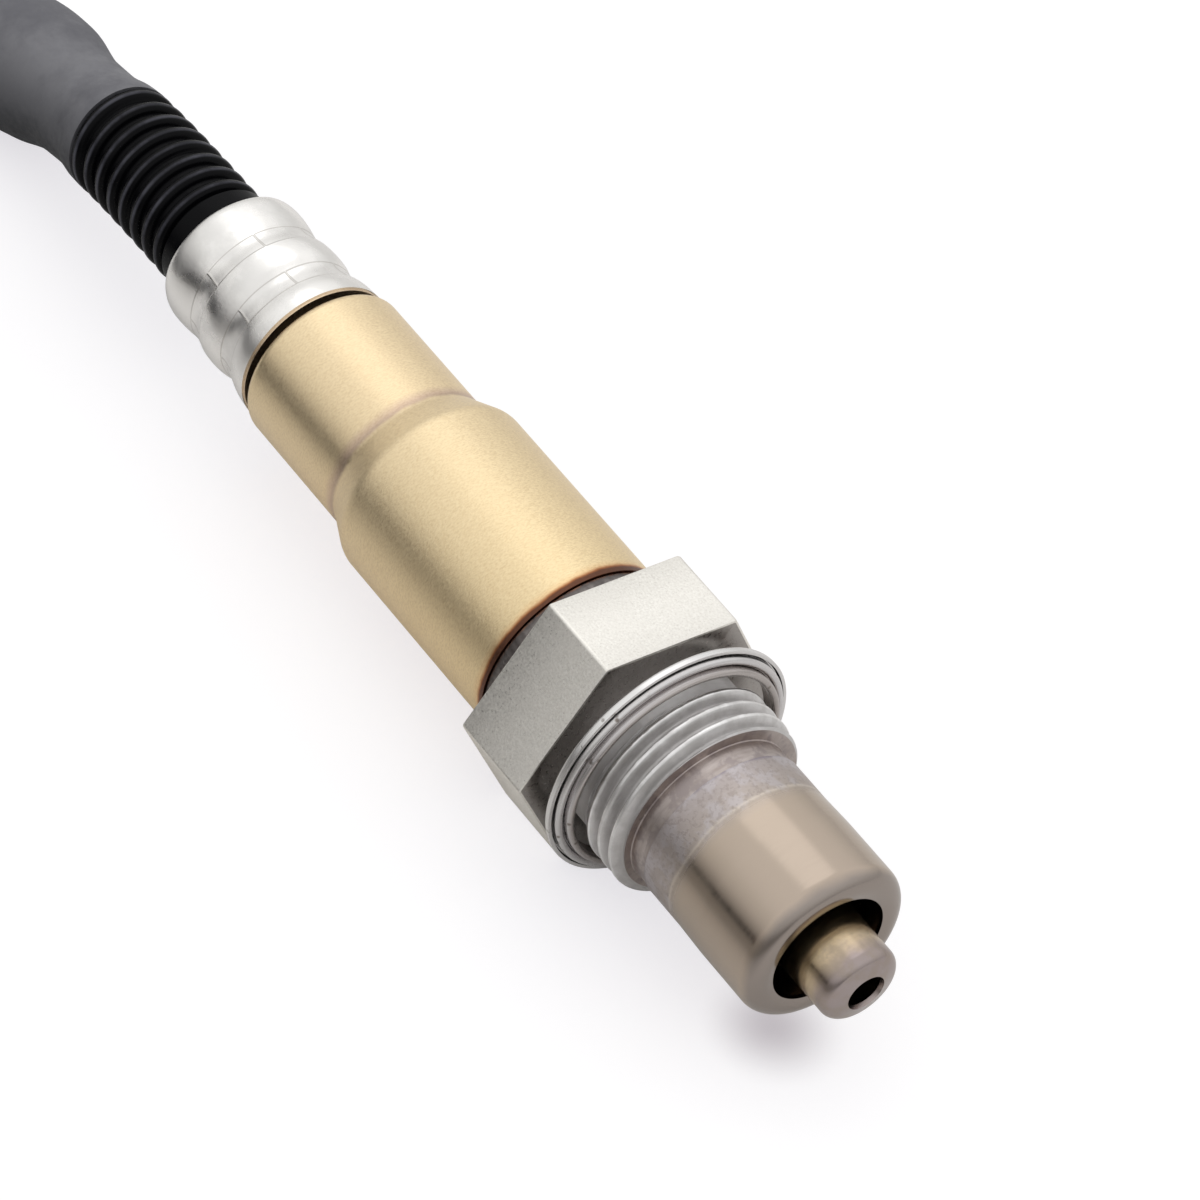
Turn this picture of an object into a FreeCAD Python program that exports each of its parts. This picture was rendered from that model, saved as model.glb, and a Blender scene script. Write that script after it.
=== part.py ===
import FreeCAD, Part
import math
import os
from FreeCAD import Vector

# Particulate matter sensor for an exhaust pipe, with its lead and plug.
# All sizes are in millimetres. X runs along the sensor, towards the tip that stands in the gas.
# The origin is on the sensor's axis, in the front face of the hexagon. Z is up.
# The sensor lies with one flat of its hexagon down, and the lead lies on the same surface.

# Hexagon housing, turned and milled from one bar of steel
hex_flats = 22.0            # across the flats
hex_length = 8.1
edge_break = 0.2            # rounding of the hexagon's edges
thread_radius = 9.0         # crest of the M18 thread
thread_end = 8.4            # from the hexagon's face to the end of the thread
thread_edge = 0.5           # chamfer at each end of the thread
undercut_radius = 8.1       # the groove behind the thread
undercut_width = 3.3
nose_radius = 7.45          # the plain band in front of the thread
nose_length = 2.0
spigot_length = 3.1         # the front spigot that the outer shield sits on
collar_radius = 8.9         # the welded band behind the hexagon
collar_length = 2.3
rear_spigot_length = 4.8    # behind the band, inside the body sleeve
lip_thickness = 0.9         # rear lip, swaged in over the packing
lip_radius = 5.4
packing_radius = 6.6        # bore that holds the ceramic packing
packing_seat = 2.2          # where that bore ends, in front of the hexagon's face
front_bore_radius = 4.0
seat_slope = 1.2            # length of the cone between the two bores
fit = 0.02                  # radial clearance where one piece slides on another

# Sealing ring, folded from sheet
ring_radius = 11.5
ring_bore_radius = 9.56
ring_rear = 2.15            # the ring is loose, and has slid forward along the thread
ring_height = 1.75
ring_sheet = 0.28
ring_rim_height = 0.72      # the turned-up outer rim
ring_plate_height = 1.2     # the flat that bears on the boss
ring_lip_width = 0.7        # the folded inner lip
ring_valley = 0.4           # depth of the fold between the flat and the lip
ring_crevice = 0.08         # width of that fold
ring_gap = 0.2              # between the rim and the flat
ring_wide_bend = 0.25
ring_lip_bend = 0.2
ring_tight_bend = 0.17
ring_sideways = -0.15

# Outer shield, drawn from sheet
shield_sheet = 0.5
shield_rear_radius = 7.58
shield_front_radius = 7.68
shield_front = 24.9
shield_flare_start = 1.0    # from the front end of the spigot
shield_flare_end = 4.0
shield_flare_bend = 6.0
shield_mouth_radius = 5.32
shield_rim_bend = 1.35      # bend at the rim, on the middle of the sheet
shield_rim_set_back = 0.45  # the mouth lies this far behind the rim
shield_rim_stretch = 0.1    # the corner of the middle line, before its bend, lies this far ahead

# Inner shield: a wide chamber round the element and a narrow nose
inner_sheet = 0.4
chamber_radius = 5.2
chamber_end = 20.6
nozzle_radius = 3.6
nozzle_start = 22.4
nozzle_front = 29.46
nozzle_hole_radius = 1.66
nozzle_bend = 0.85
nozzle_taper = 0.75         # the front face slopes back by this much
flange_radius = 6.7
flange_bend = 0.4
chamber_bend = 1.0          # at both ends of the cone from the chamber to the nozzle
inlet_radius = 0.6
inlet_count = 8
inlet_from_flange = 2.6

# Sensor element, a flat strip of ceramic
element_width = 4.2
element_thickness = 1.3
element_front = 19.6
element_rear = -34.0
element_chamfer = 0.25
slot_clearance = 0.1        # round the strip, in the ceramic pieces

# Ceramic packing in the housing, from the front to the rear
packing_clearance = 0.05
front_insulator_length = 5.4
powder_length = 4.8
rear_insulator_length = 5.0
guide_length = 5.5          # the front insulator's stem in the front bore
stem_edge = 0.5             # rounding of the stem's front edge

# Body sleeve, drawn in one piece with a shoulder and a turned-in rear end
sleeve_sheet = 0.42
sleeve_radius = 9.02
sleeve_shoulder = -31.2     # where the large diameter ends
sleeve_small_radius = 7.65
sleeve_small_start = -34.3
sleeve_shoulder_bend = 2.2
sleeve_foot_bend = 2.0
sleeve_rear = -48.35
sleeve_rear_bend = 0.75
neck_radius = 5.8           # the neck under the ferrule
neck_bend = 0.4
neck_rear = -57.6

# Contact holder, two ceramic halves round the rear end of the element
holder_radius = 6.3
holder_front = -20.0
holder_rear = -45.5
holder_split = 0.1          # gap between the halves
pocket_front = -26.5
pocket_rear = -43.0
pocket_width = 5.4
pocket_height = 6.4
clip_front = -36.6
clip_length = 6.0
clip_sheet = 0.4
clip_opening = 2.4
clip_tabs = 6
tab_width = 1.6
tab_length = 2.0
tab_clearance = 0.05
tab_root = 0.1              # how deep a tab runs into the clip's sheet

# Contact springs and leads: each is at a place across the strip, above or below it
contact_places = ((-1.5, 1), (0.0, 1), (1.5, 1), (-1.0, -1), (1.0, -1))
contact_width = 0.9
contact_sheet = 0.25
contact_front = -27.4
contact_knee = -30.6        # where the spring presses on the strip
contact_slope_end = -36.0
contact_rear = -41.6
contact_tip_rise = 0.9      # the spring's front tip stands clear of the strip
contact_bend = 0.6
lead_offset = 2.2           # of the leads above and below the axis
lead_radius = 0.7
lead_rear = -65.0

# Rubber grommet in the neck
grommet_front = -50.2

# Crimped ferrule of bright sheet: places along the axis, and outer radii there
ferrule_sheet = 0.4
ferrule_outline = (
    (-49.2, 7.26), (-50.6, 7.12), (-51.95, 6.77), (-53.1, 6.60),
    (-54.3, 6.88), (-55.5, 6.95), (-56.6, 6.85), (-57.7, 6.60), (-58.6, 6.58),
    (-59.9, 6.74), (-61.2, 6.82), (-62.1, 6.74), (-62.6, 6.48), (-62.9, 5.95),
)
crimp_rows = (-52.5, -57.5)
crimp_count = 8
crimp_depth = 0.1
crimp_length = 1.7
crimp_width = 4.75
crimp_turn = 33.6           # degrees from the top to the middle of a dent
crimp_floor_radius = 6.6    # the dents reach down to this radius, less their depth
crimp_tool_height = 2.0
liner_sheet = 0.25
liner_rear = -57.9
liner_bend = 0.3
liner_flange_radius = 7.12  # its front flange covers the ferrule's front edge

# Corrugated boot
boot_collar_radius = 6.1
boot_front = -58.05
boot_collar_rear = -62.0
boot_band_radius = 5.3      # the plain band between the ferrule and the first rib
boot_band_rear = -65.1
boot_root_radius = 4.75
boot_crest_radius = 5.35
boot_bore_radius = 3.95
rib_pitch = 1.907
rib_radius = 0.62           # of the rib's round section
rib_count = 8
first_rib = -66.3
boot_neck_radius = 4.3
boot_neck_length = 4.4
cuff_gap = 0.05             # between the last rib and the cuff

# Moulded sleeve behind the boot: distances from its front edge, and outer radii there
cuff_outline = (
    (0.0, 5.36), (2.2, 5.16), (4.6, 5.08), (8.0, 5.56), (11.6, 6.12),
    (15.6, 6.42), (20.0, 6.15), (24.6, 5.15),
)
cuff_end_radius = 4.5
cuff_length = 27.4          # as measured; a longer boot shortens the cuff

# Lead: a round cable from the cuff to a coil, and on to the plug
cable_radius = 3.5
core_radius = 3.4           # the same cable inside the boot and the cuff
core_front = -65.3
stub_play = 0.05            # the coil's stubs are this much slimmer than the cable
tie_sheet = 1.0             # the ties lift the coil by this much
tie_width = 7.0
tie_angles = (40.0, 218.0)
floor = -hex_flats / 2
coil_level = floor + tie_sheet + cable_radius
coil_turn_radii = (40.0, 33.0, 36.5)
coil_top_rise = 7.0         # the third turn lies on the other two
coil_out_angle = 270.0      # where the cable leaves the coil
stub_length = 24.5

arc_share = 0.45            # part of the shorter run that each arc of a centre line takes

# Centre line of the boot and the cuff: it droops to the surface and turns aside
boot_route = (
    (-58.0, 0.0, 0.0),
    (-75.0, 0.0, 0.0),
    (-87.0, 0.35, -2.5),
    (-97.0, 0.1, -4.5),
    (-106.0, -4.2, -4.7),
)
# Centre line of the cable from the cuff to the coil
lead_in_route = (
    (-106.0, -4.2, -4.7),
    (-116.6, -8.32, -4.7),
    (-125.96, -15.0, -5.7),
    (-133.12, -24.0, -6.5),
    (-137.62, -34.7, -6.5),
)
# Steps of the cable from the coil to the plug, from the end of the coil's stub
tail_steps = (
    (0.0, 0.0),
    (14.0, 0.0),
    (31.0, -1.4),
    (45.0, -1.4),
)

# Plug
plug_width = 19.0
plug_height = 14.0
plug_body_length = 22.0
plug_corner = 2.5
plug_nose_width = 15.0
plug_nose_height = 9.6
plug_nose_length = 9.0
plug_nose_corner = 1.6
plug_cap_length = 7.0
plug_cap_taper = 1.6
plug_cap_inset = 0.6        # the cap's wide end lies this far inside the body's outline
plug_cap_slice = 1.0        # depth of the helper block that gives the cap's outlines
plug_seal_length = 2.4
plug_seal_overlap = 0.9     # how far the front seal stands proud of the nose
plug_wire_seal_length = 5.0
plug_wire_seal_radius = 5.2
slot_pitch = 4.0
slot_rows = (-2.1, 2.1)
slot_columns = (-1, 0, 1)
slot_size = 2.3
terminal_size = 1.5
terminal_wall = 0.25
terminal_set_back = 0.6
terminal_gap = 0.3          # from the wire seal to the terminal
terminal_floor = 2.0        # solid rear end of a terminal
latch_width = 6.0
latch_sheet = 1.2
latch_length = 15.0
latch_gap = 1.1
latch_side_gap = 1.0
latch_root = 1.0            # how deep the latch runs into the body
catch_height = 1.1
catch_length = 2.2
catch_set_back = 5.0        # of the catch's rear side, from the front of the body
lock_width = 3.0
lock_thickness = 2.4
lock_stand = 1.2            # how far the locking slide stands out of the side
lock_length = 5.0
lock_set_back = 9.0         # from the front of the body

sleeve_front = -hex_length - collar_length
spigot_rear = sleeve_front - rear_spigot_length
shield_rear = thread_end + nose_length
nose_front = shield_rear + spigot_length
ring_lift = floor + ring_radius


def rounded_outline(corners, closed=True):
    """Wire in the plane of X and radius. Each corner is (along, out, rounding)."""
    count = len(corners)
    edges = []
    joints = []
    for k, (along, out, rounding) in enumerate(corners):
        here = Vector(along, out, 0)
        before = Vector(corners[k - 1][0], corners[k - 1][1], 0)
        after = Vector(corners[(k + 1) % count][0], corners[(k + 1) % count][1], 0)
        is_end = not closed and k in (0, count - 1)
        if rounding <= 0 or is_end:
            joints.append((here, here))
            continue
        back = (before - here).normalize()
        onward = (after - here).normalize()
        half_angle = back.getAngle(onward) / 2
        reach = rounding / math.tan(half_angle)
        start = here + back * reach
        end = here + onward * reach
        middle_way = (back + onward).normalize()
        middle = here + middle_way * (rounding / math.sin(half_angle) - rounding)
        edges.append((k, Part.Arc(start, middle, end).toShape()))
        joints.append((start, end))
    wire_edges = []
    arcs = dict(edges)
    last = count if closed else count - 1
    for k in range(count):
        if k in arcs:
            wire_edges.append(arcs[k])
        if k < last:
            start = joints[k][1]
            end = joints[(k + 1) % count][0]
            if start.distanceToPoint(end) > 1e-6:
                wire_edges.append(Part.LineSegment(start, end).toShape())
    return Part.Wire(wire_edges)


def turned(corners):
    """Solid turned about the sensor's axis from a closed outline."""
    face = Part.Face(rounded_outline(corners))
    return face.revolve(Vector(0, 0, 0), Vector(1, 0, 0), 360)


def sheet_outline(middle, thickness):
    """Closed outline of a bent sheet. Each corner of its middle line is (along, out, bend)."""
    sides = []
    for side in (1, -1):
        corners = []
        for k, (along, out, bend) in enumerate(middle):
            here = Vector(along, out, 0)
            ways = []
            if k > 0:
                ways.append((here - Vector(middle[k - 1][0], middle[k - 1][1], 0)).normalize())
            if k < len(middle) - 1:
                ways.append((Vector(middle[k + 1][0], middle[k + 1][1], 0) - here).normalize())
            normals = [Vector(-way.y, way.x, 0) for way in ways]
            mean = normals[0] if len(normals) == 1 else (normals[0] + normals[1]).normalize()
            stretch = 1 / mean.dot(normals[0])
            point = here + mean * (side * stretch * thickness / 2)
            turn = 0
            if len(ways) == 2:
                turn = ways[0].x * ways[1].y - ways[0].y * ways[1].x
            rounding = 0
            if bend > 0 and turn != 0:
                outside = -1 if turn > 0 else 1
                rounding = max(bend + outside * side * thickness / 2, 0.02)
            corners.append((point.x, point.y, rounding))
        sides.append(corners)
    return sides[0] + sides[1][::-1]


def drawn(middle, thickness):
    """Solid of sheet, turned about the sensor's axis from the sheet's middle line."""
    return turned(sheet_outline(middle, thickness))


def tube_along_axis(outer, inner, start, end):
    """Straight tube on the sensor's axis between two places along it."""
    low = min(start, end)
    length = abs(end - start)
    solid = Part.makeCylinder(outer, length, Vector(low, 0, 0), Vector(1, 0, 0))
    if inner > 0:
        hole = Part.makeCylinder(inner, length, Vector(low, 0, 0), Vector(1, 0, 0))
        solid = solid.cut(hole)
    return solid


def block(start, end, width, height, across=0.0, level=0.0):
    """Box from one place along the axis to another, centred across and in height."""
    low = min(start, end)
    corner = Vector(low, across - width / 2, level - height / 2)
    return Part.makeBox(abs(end - start), width, height, corner)


def strip_slot(start, end, clearance):
    """The passage of the sensor element through a ceramic piece."""
    return block(start, end, element_width + 2 * clearance, element_thickness + 2 * clearance)


def route_edges(points):
    """Runs joined by tangent arcs, each as large as its two runs allow."""
    spots = [Vector(*point) for point in points]
    edges = []
    radii = []
    place = spots[0]
    for k in range(1, len(spots) - 1):
        back = spots[k - 1] - spots[k]
        onward = spots[k + 1] - spots[k]
        shorter = min(back.Length, onward.Length)
        back.normalize()
        onward.normalize()
        half_turn = (math.pi - back.getAngle(onward)) / 2
        reach = arc_share * shorter
        radius = reach / math.tan(half_turn)
        start = spots[k] + back * reach
        end = spots[k] + onward * reach
        middle_way = (back + onward).normalize()
        middle = spots[k] + middle_way * (radius / math.cos(half_turn) - radius)
        edges.append(Part.LineSegment(place, start).toShape())
        edges.append(Part.Arc(start, middle, end).toShape())
        radii.append(round(radius, 1))
        place = end
    edges.append(Part.LineSegment(place, spots[-1]).toShape())
    return edges, radii


def part_of_route(edges, start, end):
    """The stretch of a route between two lengths along it."""
    kept = []
    passed = 0.0
    for edge in edges:
        low = max(start - passed, 0.0)
        high = min(end - passed, edge.Length)
        if high - low > 1e-6:
            first = edge.getParameterByLength(low)
            last = edge.getParameterByLength(high)
            kept.append(edge.Curve.toShape(first, last))
        passed += edge.Length
    return kept


def place_on_route(edges, length):
    """Point and direction at a length along a route."""
    passed = 0.0
    for edge in edges:
        if length <= passed + edge.Length + 1e-6:
            value = edge.getParameterByLength(min(length - passed, edge.Length))
            return edge.valueAt(value), edge.tangentAt(value)
        passed += edge.Length
    return edges[-1].valueAt(edges[-1].LastParameter), edges[-1].tangentAt(edges[-1].LastParameter)


def disc_wire(centre, way, radius):
    """Circle square to a direction."""
    return Part.Wire(Part.Circle(centre, way, radius).toShape())


def tube_on_route(edges, radius):
    """Round bar along a route."""
    start = edges[0].valueAt(edges[0].FirstParameter)
    way = edges[0].tangentAt(edges[0].FirstParameter)
    section = Part.Face(disc_wire(start, way, radius))
    return Part.Wire(edges).makePipe(section)


def make_housing():
    """Hexagon, thread shank, nose, welded band and rear lip, all one piece."""
    corner_radius = hex_flats / math.sqrt(3)
    corners = []
    for k in range(7):
        angle = math.radians(60 * k)
        corners.append(Vector(0, corner_radius * math.cos(angle), corner_radius * math.sin(angle)))
    hexagon = Part.Face(Part.makePolygon(corners)).extrude(Vector(-hex_length, 0, 0))
    hexagon = hexagon.makeFillet(edge_break, hexagon.Edges)
    shield_seat = shield_rear_radius - shield_sheet - fit
    rear_seat = sleeve_radius - sleeve_sheet - fit
    outside = turned([
        (-hex_length / 2, 0, 0),
        (0, 0, 0),
        (nose_front, 0, 0),
        (nose_front, shield_seat, 0),
        (shield_rear, shield_seat, 0),
        (shield_rear, nose_radius, 0),
        (thread_end, nose_radius, 0),
        (thread_end, thread_radius - thread_edge, 0),
        (thread_end - thread_edge, thread_radius, 0),
        (undercut_width + thread_edge, thread_radius, 0),
        (undercut_width, undercut_radius, 0),
        (0, undercut_radius, 0),
        (-hex_length / 2, undercut_radius, 0),
    ])
    rear = turned([
        (-hex_length / 2, 0, 0),
        (-hex_length / 2, collar_radius, 0),
        (sleeve_front, collar_radius, 0),
        (sleeve_front, rear_seat, 0),
        (spigot_rear + lip_thickness, rear_seat, 0),
        (spigot_rear, packing_radius, 0),
        (spigot_rear, 0, 0),
    ])
    bore = turned([
        (nose_front, 0, 0),
        (nose_front, front_bore_radius, 0),
        (packing_seat + seat_slope, front_bore_radius, 0),
        (packing_seat, packing_radius, 0),
        (spigot_rear + lip_thickness, packing_radius, 0),
        (spigot_rear + lip_thickness, lip_radius, 0),
        (spigot_rear, lip_radius, 0),
        (spigot_rear, 0, 0),
    ])
    return hexagon.fuse(outside).fuse(rear).cut(bore).removeSplitter()


def make_sealing_ring():
    """Ring folded from sheet: turned-up rim, flat back, inner lip and a flat in front."""
    half = ring_sheet / 2
    rim = ring_radius - half
    flat_edge = rim - ring_sheet - ring_gap
    bore = ring_bore_radius + half
    lip = bore + ring_lip_width - ring_sheet
    fold = lip + ring_sheet + ring_crevice
    lip_top = ring_height - half
    flat = ring_plate_height - half
    valley = flat - ring_valley
    ring = drawn([
        (ring_rim_height, rim, 0),
        (half, rim, ring_wide_bend),
        (half, bore, ring_wide_bend),
        (lip_top, bore, ring_lip_bend),
        (lip_top, lip, ring_lip_bend),
        (valley, lip, ring_tight_bend),
        (valley, fold, ring_tight_bend),
        (flat, fold, ring_tight_bend),
        (flat, flat_edge, ring_tight_bend),
        (half + ring_sheet + ring_gap / 2, flat_edge, 0),
    ], ring_sheet)
    ring.translate(Vector(ring_rear, ring_sideways, ring_lift))
    return ring


def make_outer_shield():
    """Deep-drawn cup with a wide mouth, its rim rolled in."""
    half = shield_sheet / 2
    return drawn([
        (shield_rear, shield_rear_radius - half, 0),
        (nose_front + shield_flare_start, shield_rear_radius - half, shield_flare_bend),
        (nose_front + shield_flare_end, shield_front_radius - half, shield_flare_bend),
        (shield_front - half + shield_rim_stretch, shield_front_radius - half, shield_rim_bend),
        (shield_front - half - shield_rim_set_back, shield_mouth_radius, 0),
    ], shield_sheet)


def make_inner_shield():
    """Chamber with side inlets, a step and a narrow nozzle with one hole."""
    half = inner_sheet / 2
    shield = drawn([
        (nose_front + half, flange_radius, 0),
        (nose_front + half, chamber_radius - half, flange_bend),
        (chamber_end, chamber_radius - half, chamber_bend),
        (nozzle_start, nozzle_radius - half, chamber_bend),
        (nozzle_front - nozzle_taper, nozzle_radius - half, nozzle_bend),
        (nozzle_front - half, nozzle_hole_radius, 0),
    ], inner_sheet)
    inlet_place = nose_front + inlet_from_flange
    for k in range(inlet_count):
        angle = 2 * math.pi * k / inlet_count
        way = Vector(0, math.cos(angle), math.sin(angle))
        hole = Part.makeCylinder(inlet_radius, chamber_radius + 1, Vector(inlet_place, 0, 0), way)
        shield = shield.cut(hole)
    return shield


def make_element():
    """Ceramic strip with chamfered edges at its tip."""
    strip = strip_slot(element_rear, element_front, 0)
    tip_edges = [
        edge for edge in strip.Edges
        if all(abs(v.Point.x - element_front) < 1e-6 for v in edge.Vertexes)
    ]
    return strip.makeChamfer(element_chamfer, tip_edges)


def make_packing():
    """Front insulator, powder, rear insulator and press ring, stacked in the housing."""
    radius = packing_radius - packing_clearance
    stem_radius = front_bore_radius - packing_clearance
    pieces = {}
    place = packing_seat - packing_clearance
    cone_end = place + seat_slope
    rear = place - front_insulator_length
    body = turned([
        (rear, 0, 0),
        (rear, radius, 0),
        (place, radius, 0),
        (cone_end, stem_radius, 0),
        (cone_end + guide_length, stem_radius, stem_edge),
        (cone_end + guide_length, 0, 0),
    ])
    pieces["front_insulator"] = body.cut(strip_slot(rear, cone_end + guide_length, slot_clearance))
    powder_rear = rear - powder_length
    powder = tube_along_axis(radius, 0, rear, powder_rear)
    pieces["powder_seal"] = powder.cut(strip_slot(rear, powder_rear, 0))
    insulator_rear = powder_rear - rear_insulator_length
    insulator = tube_along_axis(radius, 0, powder_rear, insulator_rear)
    slot = strip_slot(powder_rear, insulator_rear, slot_clearance)
    pieces["rear_insulator"] = insulator.cut(slot)
    lip_face = spigot_rear + lip_thickness
    pieces["press_ring"] = tube_along_axis(radius, element_width, insulator_rear, lip_face)
    return pieces


def make_body_sleeve():
    """Stepped sleeve with a rounded shoulder, a turned-in rear end and a neck."""
    half = sleeve_sheet / 2
    large = sleeve_radius - half
    small = sleeve_small_radius - half
    neck = neck_radius - half
    return drawn([
        (sleeve_front, large, 0),
        (sleeve_shoulder, large, sleeve_shoulder_bend),
        (sleeve_small_start, small, sleeve_foot_bend),
        (sleeve_rear + half, small, sleeve_rear_bend),
        (sleeve_rear + half, neck, neck_bend),
        (neck_rear, neck, 0),
    ], sleeve_sheet)


def make_contact_holder():
    """Two ceramic half shells with a pocket for the contact springs."""
    whole = tube_along_axis(holder_radius, 0, holder_front, holder_rear)
    pocket = block(pocket_front, pocket_rear, pocket_width, pocket_height)
    whole = whole.cut(pocket)
    whole = whole.cut(strip_slot(holder_front, pocket_front, slot_clearance))
    for across, side in contact_places:
        centre = Vector(holder_rear, across, side * lead_offset)
        hole = Part.makeCylinder(lead_radius + fit, pocket_rear - holder_rear, centre, Vector(1, 0, 0))
        whole = whole.cut(hole)
    size = 2 * holder_radius
    halves = {}
    for name, side in (("contact_holder_upper", 1), ("contact_holder_lower", -1)):
        level = side * (size / 2 + holder_split / 2)
        halves[name] = whole.common(block(holder_front, holder_rear, size, size, 0, level))
    return halves


def make_holder_clip():
    """Slit ring of spring steel round the holder, with tabs that bear on the sleeve."""
    outer = holder_radius + fit + clip_sheet
    clip_rear = clip_front - clip_length
    clip = tube_along_axis(outer, holder_radius + fit, clip_front, clip_rear)
    wall = sleeve_small_radius - sleeve_sheet - tab_clearance
    tab_ring = tube_along_axis(wall, outer - tab_root, clip_rear, clip_rear + tab_length)
    for k in range(clip_tabs):
        tab = block(clip_rear, clip_rear + tab_length, tab_width, 2 * wall, 0, wall)
        tab.rotate(Vector(0, 0, 0), Vector(1, 0, 0), 360 * (k + 0.5) / clip_tabs)
        clip = clip.fuse(tab.common(tab_ring))
    slit = block(clip_front, clip_rear, clip_opening, 2 * wall, 0, wall)
    return clip.cut(slit).removeSplitter()


def make_contact_springs():
    """Bent strips, each pressing on the element in front and holding a lead behind."""
    press_level = element_thickness / 2 + contact_sheet / 2 + fit
    outline = rounded_outline(sheet_outline([
        (contact_front, press_level + contact_tip_rise, 0),
        (contact_knee, press_level, contact_bend),
        (contact_slope_end, lead_offset, contact_bend),
        (contact_rear, lead_offset, 0),
    ], contact_sheet))
    flat = Part.Face(outline).extrude(Vector(0, 0, contact_width))
    flat.translate(Vector(0, 0, -contact_width / 2))
    springs = []
    for across, side in contact_places:
        spring = flat.copy()
        spring.rotate(Vector(0, 0, 0), Vector(1, 0, 0), 90 * side)
        spring.translate(Vector(0, across, 0))
        springs.append(spring)
    return Part.makeCompound(springs)


def make_inner_leads():
    """Straight leads from the springs through the holder and the grommet."""
    leads = []
    for across, side in contact_places:
        centre = Vector(lead_rear, across, side * lead_offset)
        leads.append(Part.makeCylinder(lead_radius, contact_rear - lead_rear, centre, Vector(1, 0, 0)))
    return Part.makeCompound(leads)


def make_grommet():
    """Round rubber plug in the neck, with a hole for each lead."""
    grommet = tube_along_axis(neck_radius - sleeve_sheet - fit, 0, grommet_front, neck_rear)
    for across, side in contact_places:
        centre = Vector(neck_rear, across, side * lead_offset)
        hole = Part.makeCylinder(lead_radius, grommet_front - neck_rear, centre, Vector(1, 0, 0))
        grommet = grommet.cut(hole)
    return grommet


def make_ferrule():
    """Bright sheet ferrule with two waists, each crimped all round."""
    curves = []
    for inward in (0, ferrule_sheet):
        curve = Part.BSplineCurve()
        curve.interpolate([Vector(along, out - inward, 0) for along, out in ferrule_outline])
        curves.append(curve.toShape())
    ends = []
    for along, out in (ferrule_outline[0], ferrule_outline[-1]):
        ends.append(Part.LineSegment(Vector(along, out, 0), Vector(along, out - ferrule_sheet, 0)).toShape())
    wire = Part.Wire(Part.__sortEdges__(curves + ends))
    ferrule = Part.Face(wire).revolve(Vector(0, 0, 0), Vector(1, 0, 0), 360)
    dent_floor = crimp_floor_radius - crimp_depth
    tool_top = dent_floor + crimp_tool_height
    for place in crimp_rows:
        start = place - crimp_length / 2
        end = start + crimp_length
        tool = tube_along_axis(tool_top, dent_floor, start, end)
        dent = tool.common(block(start, end, crimp_width, tool_top, 0, tool_top / 2))
        for k in range(crimp_count):
            turned = dent.copy()
            turned.rotate(Vector(0, 0, 0), Vector(1, 0, 0), crimp_turn + 360 * k / crimp_count)
            ferrule = ferrule.cut(turned)
    return ferrule


def make_liner():
    """Thin golden tube under the ferrule, with a flange on the ferrule's front edge."""
    half = liner_sheet / 2
    radius = neck_radius + fit + half
    flange = ferrule_outline[0][0] + half
    return drawn([
        (flange, liner_flange_radius, 0),
        (flange, radius, liner_bend),
        (liner_rear, radius, 0),
    ], liner_sheet)


def make_boot(edges):
    """Corrugated rubber boot: a collar in the ferrule, ribs and a plain neck in the cuff."""
    first = length_at(edges, first_rib)
    collar_end = length_at(edges, boot_collar_rear)
    root_end = first + (rib_count - 1) * rib_pitch + rib_radius
    neck_end = root_end + boot_neck_length
    rib_places = [first + k * rib_pitch for k in range(rib_count)]
    stops = [collar_end] + rib_places
    pieces = []
    for low, high in zip(stops[:-1], stops[1:]):
        start = place_on_route(edges, low)[0]
        end = place_on_route(edges, high)[0]
        way = end - start
        pieces.append(Part.makeCylinder(boot_root_radius, way.Length, start, way))
    for place in rib_places:
        spot, way = place_on_route(edges, place)
        pieces.append(Part.makeTorus(boot_crest_radius - rib_radius, rib_radius, spot, way))
    neck = part_of_route(edges, rib_places[-1], neck_end)
    pieces.append(tube_on_route(neck, boot_neck_radius))
    pieces.append(tube_along_axis(boot_band_radius, 0, boot_collar_rear, boot_band_rear))
    collar = tube_along_axis(boot_collar_radius, 0, boot_front, boot_collar_rear)
    whole = collar.multiFuse(pieces)
    hollow = part_of_route(edges, length_at(edges, boot_front), neck_end)
    return whole.cut(tube_on_route(hollow, boot_bore_radius)).removeSplitter(), root_end, neck_end


def length_at(edges, along):
    """Length along the boot's centre line where it reaches a place along X."""
    low = 0.0
    high = sum(edge.Length for edge in edges)
    for _ in range(40):
        middle = (low + high) / 2
        if place_on_route(edges, middle)[0].x > along:
            low = middle
        else:
            high = middle
    return (low + high) / 2


def make_cuff(edges, start, neck_end):
    """Grey moulded cuff that narrows behind the boot, swells and runs out on the cable."""
    total = sum(edge.Length for edge in edges)
    stretch = (total - start) / cuff_length
    rings = []
    for distance, radius in cuff_outline:
        spot, way = place_on_route(edges, start + distance * stretch)
        rings.append(disc_wire(spot, way, radius))
    spot, way = place_on_route(edges, total)
    rings.append(disc_wire(spot, way, cuff_end_radius))
    cuff = Part.makeLoft(rings, True, False)
    neck = part_of_route(edges, start, neck_end)
    cuff = cuff.cut(tube_on_route(neck, boot_neck_radius))
    passage = part_of_route(edges, neck_end, total)
    return cuff.cut(tube_on_route(passage, core_radius))


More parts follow.
